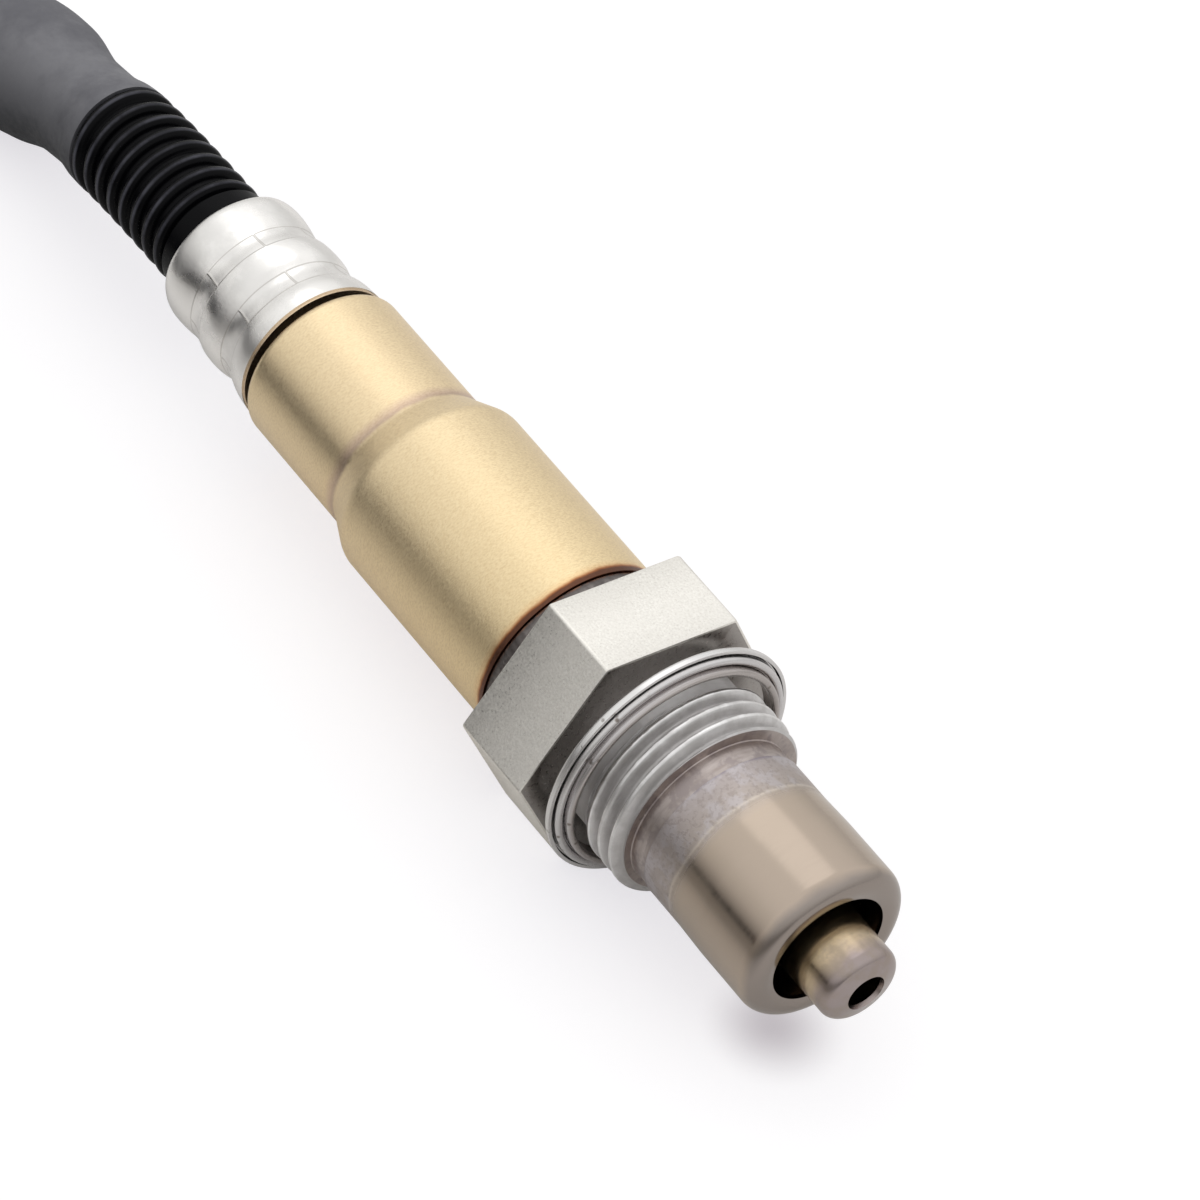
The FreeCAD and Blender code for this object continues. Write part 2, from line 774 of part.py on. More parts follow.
def bundle_section(margin):
    """Outline round the coil's three turns, in the plane of radius and height."""
    outer, inner, top = coil_turn_radii
    centres = [
        Vector(outer, 0, coil_level),
        Vector(top, 0, coil_level + coil_top_rise),
        Vector(inner, 0, coil_level),
    ]
    reach = cable_radius + margin
    edges = []
    count = len(centres)
    for k, centre in enumerate(centres):
        to_next = (centres[(k + 1) % count] - centre).normalize()
        from_last = (centre - centres[k - 1]).normalize()
        out_next = Vector(to_next.z, 0, -to_next.x)
        out_last = Vector(from_last.z, 0, -from_last.x)
        start = centre + out_last * reach
        end = centre + out_next * reach
        middle = centre + (out_last + out_next).normalize() * reach
        edges.append(Part.Arc(start, middle, end).toShape())
        far = centres[(k + 1) % count] + out_next * reach
        edges.append(Part.LineSegment(end, far).toShape())
    return Part.Face(Part.Wire(edges))


def coil_frame():
    """Centre of the coil, and the direction in which the cable runs into it."""
    last = Vector(*lead_in_route[-1])
    way = (last - Vector(*lead_in_route[-2])).normalize()
    touch = last + way * stub_length
    left = Vector(-way.y, way.x, 0)
    centre = touch + left * coil_turn_radii[0]
    return Vector(centre.x, centre.y, 0), way, last


def coil_exit():
    """Where the coil's stub ends towards the plug, and its direction."""
    centre, _, _ = coil_frame()
    angle = math.radians(coil_out_angle)
    out = Vector(math.cos(angle), math.sin(angle), 0)
    way = Vector(-out.y, out.x, 0)
    touch = centre + out * coil_turn_radii[2] + Vector(0, 0, coil_level + coil_top_rise)
    return touch, way


def make_coil():
    """One closed solid of the coil's outer shape, with a straight stub at each end."""
    centre, way_in, first = coil_frame()
    coil = bundle_section(0).revolve(Vector(0, 0, 0), Vector(0, 0, 1), 360)
    coil.translate(centre)
    slim = cable_radius - stub_play
    coil = coil.fuse(Part.makeCylinder(slim, stub_length, first, way_in))
    touch, way_out = coil_exit()
    coil = coil.fuse(Part.makeCylinder(slim, stub_length, touch, way_out))
    return coil.removeSplitter()


def make_ties():
    """Two soft straps round the coil."""
    centre, _, _ = coil_frame()
    band = bundle_section(tie_sheet).cut(bundle_section(0))
    spread = math.degrees(tie_width / coil_turn_radii[2])
    ties = []
    for angle in tie_angles:
        tie = band.revolve(Vector(0, 0, 0), Vector(0, 0, 1), spread)
        tie.rotate(Vector(0, 0, 0), Vector(0, 0, 1), angle - spread / 2)
        tie.translate(centre)
        ties += tie.Solids
    return Part.makeCompound(ties)


def tail_route():
    """Centre line of the cable from the coil down to the plug."""
    touch, way = coil_exit()
    start = touch + way * stub_length
    levels = (start.z, start.z, plug_level(), plug_level())
    points = []
    for (along, across), level in zip(tail_steps, levels):
        points.append((start.x + along, start.y + across, level))
    return points


def plug_level():
    """Height of the plug's middle, with its body on the surface."""
    return floor + plug_height / 2


def rounded_block(start, length, width, height, corner, centre):
    """Bar along X with rounded long edges, centred on a point's Y and Z."""
    box = Part.makeBox(length, width, height, Vector(start, centre.y - width / 2, centre.z - height / 2))
    long_edges = [
        edge for edge in box.Edges
        if abs(edge.tangentAt(edge.FirstParameter).x) > 0.9
    ]
    return box.makeFillet(corner, long_edges)


def make_plug(entry):
    """Sealed plug with a latch, a locking slide, terminals, seals and a rear cap."""
    rear = entry.x
    body_start = rear + plug_cap_length
    body_end = body_start + plug_body_length
    nose_end = body_end + plug_nose_length
    housing = rounded_block(body_start, plug_body_length, plug_width, plug_height, plug_corner, entry)
    nose = rounded_block(
        body_end, plug_nose_length, plug_nose_width, plug_nose_height, plug_nose_corner, entry
    )
    housing = housing.fuse(nose)
    top = entry.z + plug_height / 2
    recess_depth = latch_gap + latch_sheet
    recess_start = body_end - latch_length
    channel_width = latch_width + 2 * latch_side_gap
    channel = Part.makeBox(
        latch_length, channel_width, recess_depth,
        Vector(recess_start, entry.y - channel_width / 2, top - recess_depth),
    )
    housing = housing.cut(channel)
    beam = Part.makeBox(
        latch_length + latch_root, latch_width, latch_sheet,
        Vector(recess_start - latch_root, entry.y - latch_width / 2, top - latch_sheet),
    )
    catch = Part.makeBox(
        catch_length, latch_width, catch_height,
        Vector(body_end - catch_set_back, entry.y - latch_width / 2, top),
    )
    housing = housing.fuse(beam).fuse(catch)
    for level in slot_rows:
        for column in slot_columns:
            slot = Part.makeBox(
                plug_body_length + plug_nose_length, slot_size, slot_size,
                Vector(body_start, entry.y + column * slot_pitch - slot_size / 2,
                       entry.z + level - slot_size / 2),
            )
            housing = housing.cut(slot)
    pocket = Part.makeCylinder(
        plug_wire_seal_radius, plug_wire_seal_length, Vector(body_start, entry.y, entry.z), Vector(1, 0, 0)
    )
    housing = housing.cut(pocket)
    lock_start = body_end - lock_set_back
    lock_hole = Part.makeBox(
        lock_length, lock_width, lock_thickness,
        Vector(lock_start, entry.y - plug_width / 2, entry.z - lock_thickness / 2),
    )
    housing = housing.cut(lock_hole).removeSplitter()
    lock = Part.makeBox(
        lock_length - 2 * fit, lock_width + lock_stand, lock_thickness - 2 * fit,
        Vector(lock_start + fit, entry.y - plug_width / 2 - lock_stand, entry.z - lock_thickness / 2 + fit),
    )
    seal_outer = rounded_block(
        body_end, plug_seal_length, plug_nose_width + 2 * plug_seal_overlap,
        plug_nose_height + 2 * plug_seal_overlap, plug_nose_corner + plug_seal_overlap, entry,
    )
    seal_groove = rounded_block(
        body_end, plug_seal_length, plug_nose_width, plug_nose_height, plug_nose_corner, entry
    )
    front_seal = seal_outer.cut(seal_groove)
    terminals = []
    for level in slot_rows:
        for column in slot_columns:
            centre_y = entry.y + column * slot_pitch
            terminals.append(make_terminal(body_start, nose_end, centre_y, entry.z + level))
    wire_seal = Part.makeCylinder(
        plug_wire_seal_radius - fit, plug_wire_seal_length,
        Vector(body_start, entry.y, entry.z), Vector(1, 0, 0),
    )
    cap = make_rear_cap(entry, body_start)
    return {
        "plug_housing": housing,
        "plug_lock": lock,
        "plug_front_seal": front_seal,
        "plug_terminals": Part.makeCompound(terminals),
        "plug_wire_seal": wire_seal,
        "plug_rear_cap": cap,
    }


def make_terminal(body_start, nose_end, across, level):
    """Box-shaped terminal of sheet, open at the front, standing on the slot's floor."""
    start = body_start + plug_wire_seal_length + terminal_gap
    end = nose_end - terminal_set_back
    centre_level = level - slot_size / 2 + terminal_size / 2
    outer = block(start, end, terminal_size, terminal_size, across, centre_level)
    inside = terminal_size - 2 * terminal_wall
    return outer.cut(block(start + terminal_floor, end, inside, inside, across, centre_level))


def make_rear_cap(entry, body_start):
    """Cap that narrows from the plug's body to the cable, with a bead at its mouth."""
    wide = []
    for inset, along in ((0.0, body_start), (plug_cap_taper, entry.x)):
        width = plug_width - 2 * (inset + plug_cap_inset)
        height = plug_height - 2 * (inset + plug_cap_inset)
        corner = plug_corner - plug_cap_inset
        section = rounded_block(along, plug_cap_slice, width, height, corner, entry)
        face = [f for f in section.Faces if f.CenterOfMass.x < along + 1e-6][0]
        wide.append(face.OuterWire)
    cap = Part.makeLoft(wide, True, True)
    passage = Part.makeCylinder(
        cable_radius, plug_cap_length, Vector(entry.x, entry.y, entry.z), Vector(1, 0, 0)
    )
    return cap.cut(passage)


parts = {
    "hex_housing": make_housing(),
    "sealing_ring": make_sealing_ring(),
    "outer_shield": make_outer_shield(),
    "inner_shield": make_inner_shield(),
    "sensor_element": make_element(),
    "body_sleeve": make_body_sleeve(),
    "holder_clip": make_holder_clip(),
    "contact_springs": make_contact_springs(),
    "inner_leads": make_inner_leads(),
    "grommet": make_grommet(),
    "crimp_ferrule": make_ferrule(),
    "ferrule_liner": make_liner(),
}
parts.update(make_packing())
parts.update(make_contact_holder())

boot_edges, boot_radii = route_edges(boot_route)
boot, cuff_start, boot_end = make_boot(boot_edges)
parts["corrugated_boot"] = boot
parts["cable_cuff"] = make_cuff(boot_edges, cuff_start + cuff_gap, boot_end)
core_edges = part_of_route(
    boot_edges, length_at(boot_edges, core_front), sum(edge.Length for edge in boot_edges)
)
parts["inner_cable"] = tube_on_route(core_edges, core_radius)

lead_in_edges, lead_in_radii = route_edges(lead_in_route)
parts["harness_lead_in"] = tube_on_route(lead_in_edges, cable_radius)
parts["harness_coil"] = make_coil()
parts["coil_ties"] = make_ties()
tail_points = tail_route()
tail_edges, tail_radii = route_edges(tail_points)
plug_entry = Vector(*tail_points[-1])
parts.update(make_plug(plug_entry))
tail = tube_on_route(tail_edges, cable_radius)
in_cap = Part.makeCylinder(cable_radius, plug_cap_length, plug_entry, Vector(1, 0, 0))
parts["harness_tail"] = tail.fuse(in_cap).removeSplitter()

os.makedirs("parts", exist_ok=True)
for name, shape in parts.items():
    shape.exportStep("parts/" + name + ".step")
    print(name, len(shape.Solids), "solids", round(shape.Volume, 1), "mm3", shape.isValid())

for name, edges, radius in (
    ("harness_lead_in", lead_in_edges, cable_radius),
    ("harness_tail", tail_edges, cable_radius),
):
    length = sum(edge.Length for edge in edges)
    print(name, "length", round(length, 1), "section times length", round(math.pi * radius**2 * length, 1))
print("radii of the boot", boot_radii)
print("radii of the lead-in", lead_in_radii)
print("radii of the tail", tail_radii)
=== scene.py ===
import math
import bmesh
import bpy
from mathutils import Matrix, Vector


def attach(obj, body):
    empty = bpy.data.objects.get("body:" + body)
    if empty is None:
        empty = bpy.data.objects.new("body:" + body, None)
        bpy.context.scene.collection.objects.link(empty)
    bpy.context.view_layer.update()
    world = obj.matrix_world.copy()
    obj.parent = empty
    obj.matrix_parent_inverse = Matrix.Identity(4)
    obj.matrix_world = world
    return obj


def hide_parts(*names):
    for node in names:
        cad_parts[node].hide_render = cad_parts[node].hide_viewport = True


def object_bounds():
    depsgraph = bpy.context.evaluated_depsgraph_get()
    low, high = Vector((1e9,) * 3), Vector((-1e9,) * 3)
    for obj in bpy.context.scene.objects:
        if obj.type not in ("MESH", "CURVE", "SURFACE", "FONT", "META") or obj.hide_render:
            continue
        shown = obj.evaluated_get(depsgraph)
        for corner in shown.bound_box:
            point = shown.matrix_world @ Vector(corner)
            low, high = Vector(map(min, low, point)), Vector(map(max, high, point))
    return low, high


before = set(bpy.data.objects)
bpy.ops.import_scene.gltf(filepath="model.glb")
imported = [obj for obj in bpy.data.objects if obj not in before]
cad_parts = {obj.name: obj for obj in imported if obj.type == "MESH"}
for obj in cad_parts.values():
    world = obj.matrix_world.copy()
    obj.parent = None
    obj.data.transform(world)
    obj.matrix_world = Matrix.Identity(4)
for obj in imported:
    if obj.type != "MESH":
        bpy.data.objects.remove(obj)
cad_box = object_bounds()

# Camera
# It stands above the tip's side and looks along the sensor to its lead, through a long lens.
# Its place was fitted to the hexagon, the thread and the tip in a picture of 1200 by 1200.
camera_place = Vector((0.21967, -0.22576, 0.31866))
camera_back = Vector((0.5115, -0.5048, 0.6954)).normalized()
camera_up = Vector((-0.6469, 0.3065, 0.6983))
picture_width = 1200
focal_pixels = 5622.1

camera = bpy.data.objects.new("camera", bpy.data.cameras.new("camera"))
bpy.context.collection.objects.link(camera)
camera_right = camera_up.cross(camera_back).normalized()
camera_up = camera_back.cross(camera_right)
turn = Matrix((camera_right, camera_up, camera_back)).transposed()
camera.matrix_world = Matrix.Translation(camera_place) @ turn.to_4x4()
camera.data.sensor_width = 36
camera.data.lens = 36 * focal_pixels / picture_width
camera.data.clip_end = 10
bpy.context.scene.camera = camera
bpy.context.scene.view_settings.view_transform = "Standard"


# Studio
# A white sheet under the sensor, a soft light tent over it and one soft lamp on the right.
# The tent is darker near the horizon, as the open sides of a real one are. The sheet glows a little
# for the camera, and less in a soft spot under the nose, where a painted shadow deepens the real one.
def add(tree, kind, inputs=None, **settings):
    """Adds a node. An input that is given a socket is linked, and any other gets the value."""
    node = tree.nodes.new(kind)
    for name, value in settings.items():
        setattr(node, name, value)
    for key, value in (inputs or {}).items():
        if isinstance(value, bpy.types.NodeSocket):
            tree.links.new(value, node.inputs[key])
        else:
            node.inputs[key].default_value = value
    return node


def calc(tree, operation, *values):
    """Result of a Math node."""
    return add(tree, "ShaderNodeMath", dict(enumerate(values)), operation=operation).outputs[0]


def ramp(tree, factor, stops, interpolation="LINEAR"):
    """Colour ramp. Each stop is (place, red, green, blue)."""
    node = add(tree, "ShaderNodeValToRGB", {"Fac": factor})
    node.color_ramp.interpolation = interpolation
    elements = node.color_ramp.elements
    while len(elements) < len(stops):
        elements.new(0.5)
    for element, (place, *colour) in zip(elements, stops):
        element.position = place
        element.color = (*colour, 1)
    return node.outputs["Color"]


def mixed(tree, factor, first, second, blend="MIX"):
    """Mix of two colours, each a socket or (red, green, blue)."""
    first, second = ((*colour, 1) if isinstance(colour, tuple) else colour for colour in (first, second))
    node = add(tree, "ShaderNodeMix", {0: factor, 6: first, 7: second}, data_type="RGBA", blend_type=blend)
    return node.outputs[2]


def span(tree, value, low, high, to_low=0.0, to_high=1.0, **settings):
    """Value carried from one range to another."""
    inputs = {"Value": value, "From Min": low, "From Max": high, "To Min": to_low, "To Max": to_high}
    return add(tree, "ShaderNodeMapRange", inputs, **settings).outputs["Result"]


def axis_of(tree, vector, axis):
    """One axis of a vector."""
    return add(tree, "ShaderNodeSeparateXYZ", {"Vector": vector}).outputs[axis]


tent_lean = 0.10            # the tent is a little brighter towards +Y
world = bpy.data.worlds.new("light_tent")
world.use_nodes = True
bpy.context.scene.world = world
tree = world.node_tree
tree.nodes.clear()
ways = add(tree, "ShaderNodeTexCoord").outputs["Generated"]
height = calc(tree, "MULTIPLY_ADD", axis_of(tree, ways, "Y"), tent_lean, axis_of(tree, ways, "Z"))
tent = ramp(tree, span(tree, height, -1.0, 1.0), [
    (0.0, 0.30, 0.29, 0.29),
    (0.46, 0.30, 0.29, 0.29),
    (0.51, 0.46, 0.455, 0.45),
    (0.58, 0.67, 0.665, 0.66),
    (0.66, 0.78, 0.78, 0.77),
    (0.75, 0.90, 0.90, 0.90),
    (0.86, 0.96, 0.96, 0.96),
    (1.0, 0.96, 0.96, 0.96),
])
to_camera = add(tree, "ShaderNodeLightPath").outputs["Is Camera Ray"]
tent_light = add(tree, "ShaderNodeBackground", {"Color": tent}).outputs[0]
white = add(tree, "ShaderNodeBackground", {"Color": (1, 1, 1, 1)}).outputs[0]
seen = add(tree, "ShaderNodeMixShader", {0: to_camera, 1: tent_light, 2: white})
add(tree, "ShaderNodeOutputWorld", {"Surface": seen.outputs[0]})

floor_level = cad_box[0][2] - 0.00002
floor_half = 3.0
floor_corners = ((-1, -1), (1, -1), (1, 1), (-1, 1))
floor_mesh = bpy.data.meshes.new("floor")
floor_mesh.from_pydata([(x * floor_half, y * floor_half, floor_level) for x, y in floor_corners], [], [(0, 1, 2, 3)])
floor = bpy.data.objects.new("floor", floor_mesh)
bpy.context.collection.objects.link(floor)
under_nose = (0.0225, -0.0012)
shade_reach = 0.0065
paper = bpy.data.materials.new("white_sheet")
paper.use_nodes = True
tree = paper.node_tree
tree.nodes.clear()
to_camera = add(tree, "ShaderNodeLightPath").outputs["Is Camera Ray"]
sheet_place = add(tree, "ShaderNodeTexCoord").outputs["Object"]
# For all but camera rays the sheet darkens on the -Y side, from 12 to 45 mm out: painted shade that the metal reflects.
painted_shade_fade = span(tree, axis_of(tree, sheet_place, "Y"), -0.045, -0.012)
sheet_with_painted_shade = mixed(tree, painted_shade_fade, (0.30, 0.29, 0.28), (0.80, 0.79, 0.78))
sheet = mixed(tree, to_camera, sheet_with_painted_shade, (0.42, 0.43, 0.40))
matt = add(tree, "ShaderNodeBsdfDiffuse", {"Color": sheet})
# Less glow in a soft spot under the nose: a painted shadow.
away = add(tree, "ShaderNodeVectorMath", {0: sheet_place, 1: (*under_nose, floor_level)}, operation="DISTANCE")
outside_painted_shadow = span(tree, away.outputs["Value"], 0.0, shade_reach, interpolation_type="SMOOTHSTEP")
glow_with_painted_shadow = mixed(tree, outside_painted_shadow, (0.33, 0.30, 0.345), (0.665, 0.65, 0.685))
glow = add(tree, "ShaderNodeEmission", {"Color": glow_with_painted_shadow, "Strength": to_camera})
both = add(tree, "ShaderNodeAddShader", {0: matt.outputs[0], 1: glow.outputs[0]})
add(tree, "ShaderNodeOutputMaterial", {"Surface": both.outputs[0]})
floor_mesh.materials.append(paper)

lamp_place = Vector((-0.42, 0.12, 0.66))
lamp_aim = Vector((-0.02, 0.0, 0.0))
lamp = bpy.data.objects.new("soft_lamp", bpy.data.lights.new("soft_lamp", "AREA"))
bpy.context.collection.objects.link(lamp)
lamp.data.shape = "DISK"
lamp.data.size = 0.60
lamp.data.energy = 0.30
lamp.location = lamp_place
lamp.rotation_euler = (lamp_aim - lamp_place).to_track_quat("-Z", "Y").to_euler()


# Hexagon housing
# The sensor's steel body: an M18 thread, a hexagon and a welded band, turned and milled from one bar.
# It is one turned skin whose radius follows the hexagon, the thread's helix and the ripples of the weld.
MM = 0.001
round_steps = 240
hex_flats = 22.0
hex_length = 8.1
hex_edge = 0.28
thread_crest = 9.0
thread_root = 8.12
thread_pitch = 1.5
thread_start = 3.3
thread_end = 8.4
thread_chamfer = 0.5
band_radius = 7.45
band_end = 10.4
weld_radius = 8.86
weld_end = -10.4
spigot_radius = 7.06
spigot_end = 13.5
chamber_radius = 4.0
packing_radius = 6.6
packing_end = -14.3
collar_radius = 8.58
collar_bore = 5.4
housing_end = -15.2


def arc_points(start, centre, end, pieces):
    """Points on the arc from one 2D point to another about a centre."""
    first = math.atan2(start.y - centre.y, start.x - centre.x)
    last = math.atan2(end.y - centre.y, end.x - centre.x)
    sweep = (last - first + math.pi) % (2 * math.pi) - math.pi
    radius = (start - centre).length
    return [
        centre + Vector((math.cos(first + sweep * k / pieces), math.sin(first + sweep * k / pieces))) * radius
        for k in range(pieces + 1)
    ]


def rounded_line(corners, pieces=7):
    """Line along the axis through corners (along, out, rounding), in millimetres."""
    line = []
    for k, (along, out, rounding) in enumerate(corners):
        here = Vector((along, out))
        if rounding == 0 or k in (0, len(corners) - 1):
            line.append(here)
            continue
        back = (Vector(corners[k - 1][:2]) - here).normalized()
        onward = (Vector(corners[k + 1][:2]) - here).normalized()
        half = back.angle(onward) / 2
        centre = here + (back + onward).normalized() * (rounding / math.sin(half))
        reach = rounding / math.tan(half)
        line += arc_points(here + back * reach, centre, here + onward * reach, pieces)
    return line


def sheet_loop(middle, thickness):
    """Closed outline of a sheet from its middle line."""
    sides = ([], [])
    for k, point in enumerate(middle):
        before = (point - middle[k - 1]).normalized() if k > 0 else None
        after = (middle[k + 1] - point).normalized() if k < len(middle) - 1 else None
        way = ((before or after) + (after or before)).normalized()
        out = Vector((-way.y, way.x))
        sides[0].append(point + out * (thickness / 2))
        sides[1].append(point - out * (thickness / 2))
    return sides[0] + sides[1][::-1]


def new_piece(name, mesh, sharp_angle=32):
    """Object of a mesh, smooth but for its sharp edges."""
    mesh.shade_smooth()
    mesh.set_sharp_from_angle(angle=math.radians(sharp_angle))
    piece = bpy.data.objects.new(name, mesh)
    bpy.context.collection.objects.link(piece)
    return piece


def outward(mesh):
    """Turns every face of a closed mesh outwards."""
    work = bmesh.new()
    work.from_mesh(mesh)
    bmesh.ops.recalc_face_normals(work, faces=work.faces)
    work.to_mesh(mesh)
    work.free()


def closed_piece(name, places, faces):
    """Piece of a closed mesh."""
    mesh = bpy.data.meshes.new(name)
    mesh.from_pydata(places, [], faces)
    outward(mesh)
    return new_piece(name, mesh)


def closed_loft(name, loops):
    """Piece through closed loops of the same number of points, the last of which joins the first."""
    total, count = len(loops), len(loops[0])
    faces = []
    for ring in range(total):
        here, onward = ring * count, (ring + 1) % total * count
        for k in range(count):
            after = (k + 1) % count
            faces.append((here + k, onward + k, onward + after, here + after))
    return closed_piece(name, [place for loop in loops for place in loop], faces)


def turned(name, outline_at, angles, offset=(0, 0)):
    """Piece turned about the sensor's axis. outline_at(angle) gives its closed outline in millimetres."""
    loops = []
    for angle in angles:
        across, level = math.cos(angle), math.sin(angle)
        loops.append([
            (along * MM, (out * across + offset[0]) * MM, (out * level + offset[1]) * MM)
            for along, out in outline_at(angle)
        ])
    return closed_loft(name, loops)


even_angles = [2 * math.pi * k / round_steps for k in range(round_steps)]


def hex_radius(angle):
    """Distance from the axis to the hexagon's surface, with a small arc at each corner."""
    apothem = hex_flats / 2
    sector = math.radians(60)
    from_corner = (angle + sector / 2) % sector - sector / 2
    centre = (apothem - hex_edge) / math.cos(sector / 2)
    tangent = math.atan2(hex_edge * math.sin(sector / 2), centre + hex_edge * math.cos(sector / 2))
    if abs(from_corner) < tangent:
        return centre * math.cos(from_corner) + math.sqrt(hex_edge**2 - (centre * math.sin(from_corner))**2)
    return apothem / math.cos(abs(from_corner) - sector / 2)


def thread_radius(along, angle):
    """Radius of the rolled thread at a place along the axis and round it."""
    turn_share = (along / thread_pitch - angle / (2 * math.pi)) % 1.0
    from_crest = abs(turn_share - 0.5) * thread_pitch
    flank = min(max((from_crest - 0.10) / 0.56, 0.0), 1.0)
    flank = 0.35 * flank + 0.65 * (0.5 - 0.5 * math.cos(math.pi * flank))
    radius = thread_crest - (thread_crest - thread_root) * flank
    start = thread_crest - max(thread_start + thread_chamfer - along, 0) * 1.8
    end = thread_crest - max(along - thread_end + thread_chamfer, 0) * 1.0
    return min(radius, start, end)


def housing_outline(angle):
    """Closed outline of the housing at one angle round the axis."""
    outer = hex_radius(angle)
    ripple = 0.035 * math.sin(74 * angle) + 0.03 * math.sin(23 * angle + 1)
    outline = [(0.0, 8.1), (thread_start, 8.1)]
    steps = 110
    for k in range(steps + 1):
        along = thread_start + (thread_end - thread_start) * k / steps
        outline.append((along, thread_radius(along, angle)))
    outline += [
        (thread_end, band_radius + 0.08), (thread_end + 0.08, band_radius), (band_end, band_radius),
        (band_end, spigot_radius), (spigot_end, spigot_radius), (spigot_end, chamber_radius), (3.4, chamber_radius),
        (2.2, packing_radius), (packing_end, packing_radius), (packing_end, collar_bore), (housing_end, collar_bore),
        (housing_end, collar_radius), (weld_end, collar_radius),
        (weld_end, weld_radius - 0.16), (weld_end + 0.12, weld_radius), (weld_end + 0.7, weld_radius + 0.10 + ripple),
        (weld_end + 1.4, weld_radius + 0.08 + ripple), (weld_end + 2.0, weld_radius - 0.05), (-hex_length - 0.02, 8.62),
    ]
    edge = hex_edge * 0.8
    outline += [
        (-hex_length, 9.2), (-hex_length, outer - edge), (-hex_length + edge * 0.3, outer - edge * 0.3),
        (-hex_length + edge, outer), (-edge, outer), (-edge * 0.3, outer - edge * 0.3), (0.0, outer - edge), (0.0, 9.2),
    ]
    return outline


corner_angles = []
for corner in range(6):
    for step in (-1.3, -0.9, -0.6, -0.3, 0.3, 0.6, 0.9, 1.3):
        corner_angles.append(math.radians(60 * corner + step) % (2 * math.pi))
hex_angles = sorted(even_angles + corner_angles)
housing = turned("hexagon_and_thread", housing_outline, hex_angles)


def noise(tree, place, scale, detail, roughness=0.5):
    """Noise from 0 to 1."""
    inputs = {"Vector": place, "Scale": scale, "Detail": detail, "Roughness": roughness}
    return add(tree, "ShaderNodeTexNoise", inputs).outputs["Fac"]


def new_group(name, inputs, outputs):
    """Shader node group with named sockets. Each input is (name, type, default)."""
    group = bpy.data.node_groups.new(name, "ShaderNodeTree")
    for title, kind, default in inputs:
        socket = group.interface.new_socket(title, in_out="INPUT", socket_type=kind)
        if default is not None:
            socket.default_value = default
    for title, kind in outputs:
        group.interface.new_socket(title, in_out="OUTPUT", socket_type=kind)
    return group, add(group, "NodeGroupInput"), add(group, "NodeGroupOutput")


# Tool marks that run round the axis: noise drawn out across it
tool_marks, entry, result = new_group(
    "tool_marks",
    [("Vector", "NodeSocketVector", None), ("Along", "NodeSocketFloat", 6000), ("Around", "NodeSocketFloat", 800)],
    [("Height", "NodeSocketFloat")],
)
around = entry.outputs["Around"]
spread = add(tool_marks, "ShaderNodeCombineXYZ", {0: entry.outputs["Along"], 1: around, 2: around})
drawn = add(
    tool_marks, "ShaderNodeVectorMath", {0: entry.outputs["Vector"], 1: spread.outputs[0]}, operation="MULTIPLY",
)
tool_marks.links.new(noise(tool_marks, drawn.outputs[0], 1.0, 4.0, 0.6), result.inputs["Height"])

# Soft patches with a low and a high edge
patches, entry, result = new_group(
    "patches",
    [
        ("Vector", "NodeSocketVector", None), ("Scale", "NodeSocketFloat", 200),
        ("Low", "NodeSocketFloat", 0.4), ("High", "NodeSocketFloat", 0.6),
    ],
    [("Mask", "NodeSocketFloat")],
)
cloud = noise(patches, entry.outputs["Vector"], entry.outputs["Scale"], 5.0, 0.62)
mask = span(patches, cloud, entry.outputs["Low"], entry.outputs["High"], interpolation_type="SMOOTHSTEP")
patches.links.new(mask, result.inputs["Mask"])


# Distance from a line along X at a height
axis_distance, entry, result = new_group(
    "axis_distance",
    [("Vector", "NodeSocketVector", None), ("Middle", "NodeSocketFloat", 0.0)],
    [("Distance", "NodeSocketFloat")],
)
level = calc(axis_distance, "SUBTRACT", axis_of(axis_distance, entry.outputs["Vector"], "Z"), entry.outputs["Middle"])
across = axis_of(axis_distance, entry.outputs["Vector"], "Y")
square = calc(axis_distance, "MULTIPLY_ADD", level, level, calc(axis_distance, "MULTIPLY", across, across))
axis_distance.links.new(calc(axis_distance, "SQRT", square, 0.0), result.inputs["Distance"])


def new_material(name, roughness, metallic=1.0):
    """Material with its shader and the Object coordinates that its patterns read."""
    material = bpy.data.materials.new(name)
    material.use_nodes = True
    tree = material.node_tree
    tree.nodes.clear()
    shader = add(tree, "ShaderNodeBsdfPrincipled", {"Roughness": roughness, "Metallic": metallic})
    add(tree, "ShaderNodeOutputMaterial", {"Surface": shader.outputs[0]})
    place = add(tree, "ShaderNodeTexCoord").outputs["Object"]
    return material, tree, shader, place


def use(tree, group, **inputs):
    """Places a node group, and gives its only output."""
    return add(tree, "ShaderNodeGroup", inputs, node_tree=group).outputs[0]


def patchy(tree, place, scale, low, high):
    """Mask of soft patches."""
    return use(tree, patches, Vector=place, Scale=scale, Low=low, High=high)


def tooled(tree, place, along, around):
    """Height of tool marks."""
    return use(tree, tool_marks, Vector=place, Along=along, Around=around)


def painted(tree, shader, colour):
    """Gives a shader its colour."""
    tree.links.new(colour, shader.inputs["Base Color"])


def roughened(tree, shader, pattern, smooth, rough):
    """Gives a shader a roughness that follows a pattern."""
    tree.links.new(span(tree, pattern, 0.3, 0.7, smooth, rough), shader.inputs["Roughness"])


def bumped(tree, shader, height, strength, distance):
    """Gives a shader a bump of a height in metres."""
    node = add(tree, "ShaderNodeBump", {"Height": height, "Strength": strength, "Distance": distance})
    tree.links.new(node.outputs["Normal"], shader.inputs["Normal"])


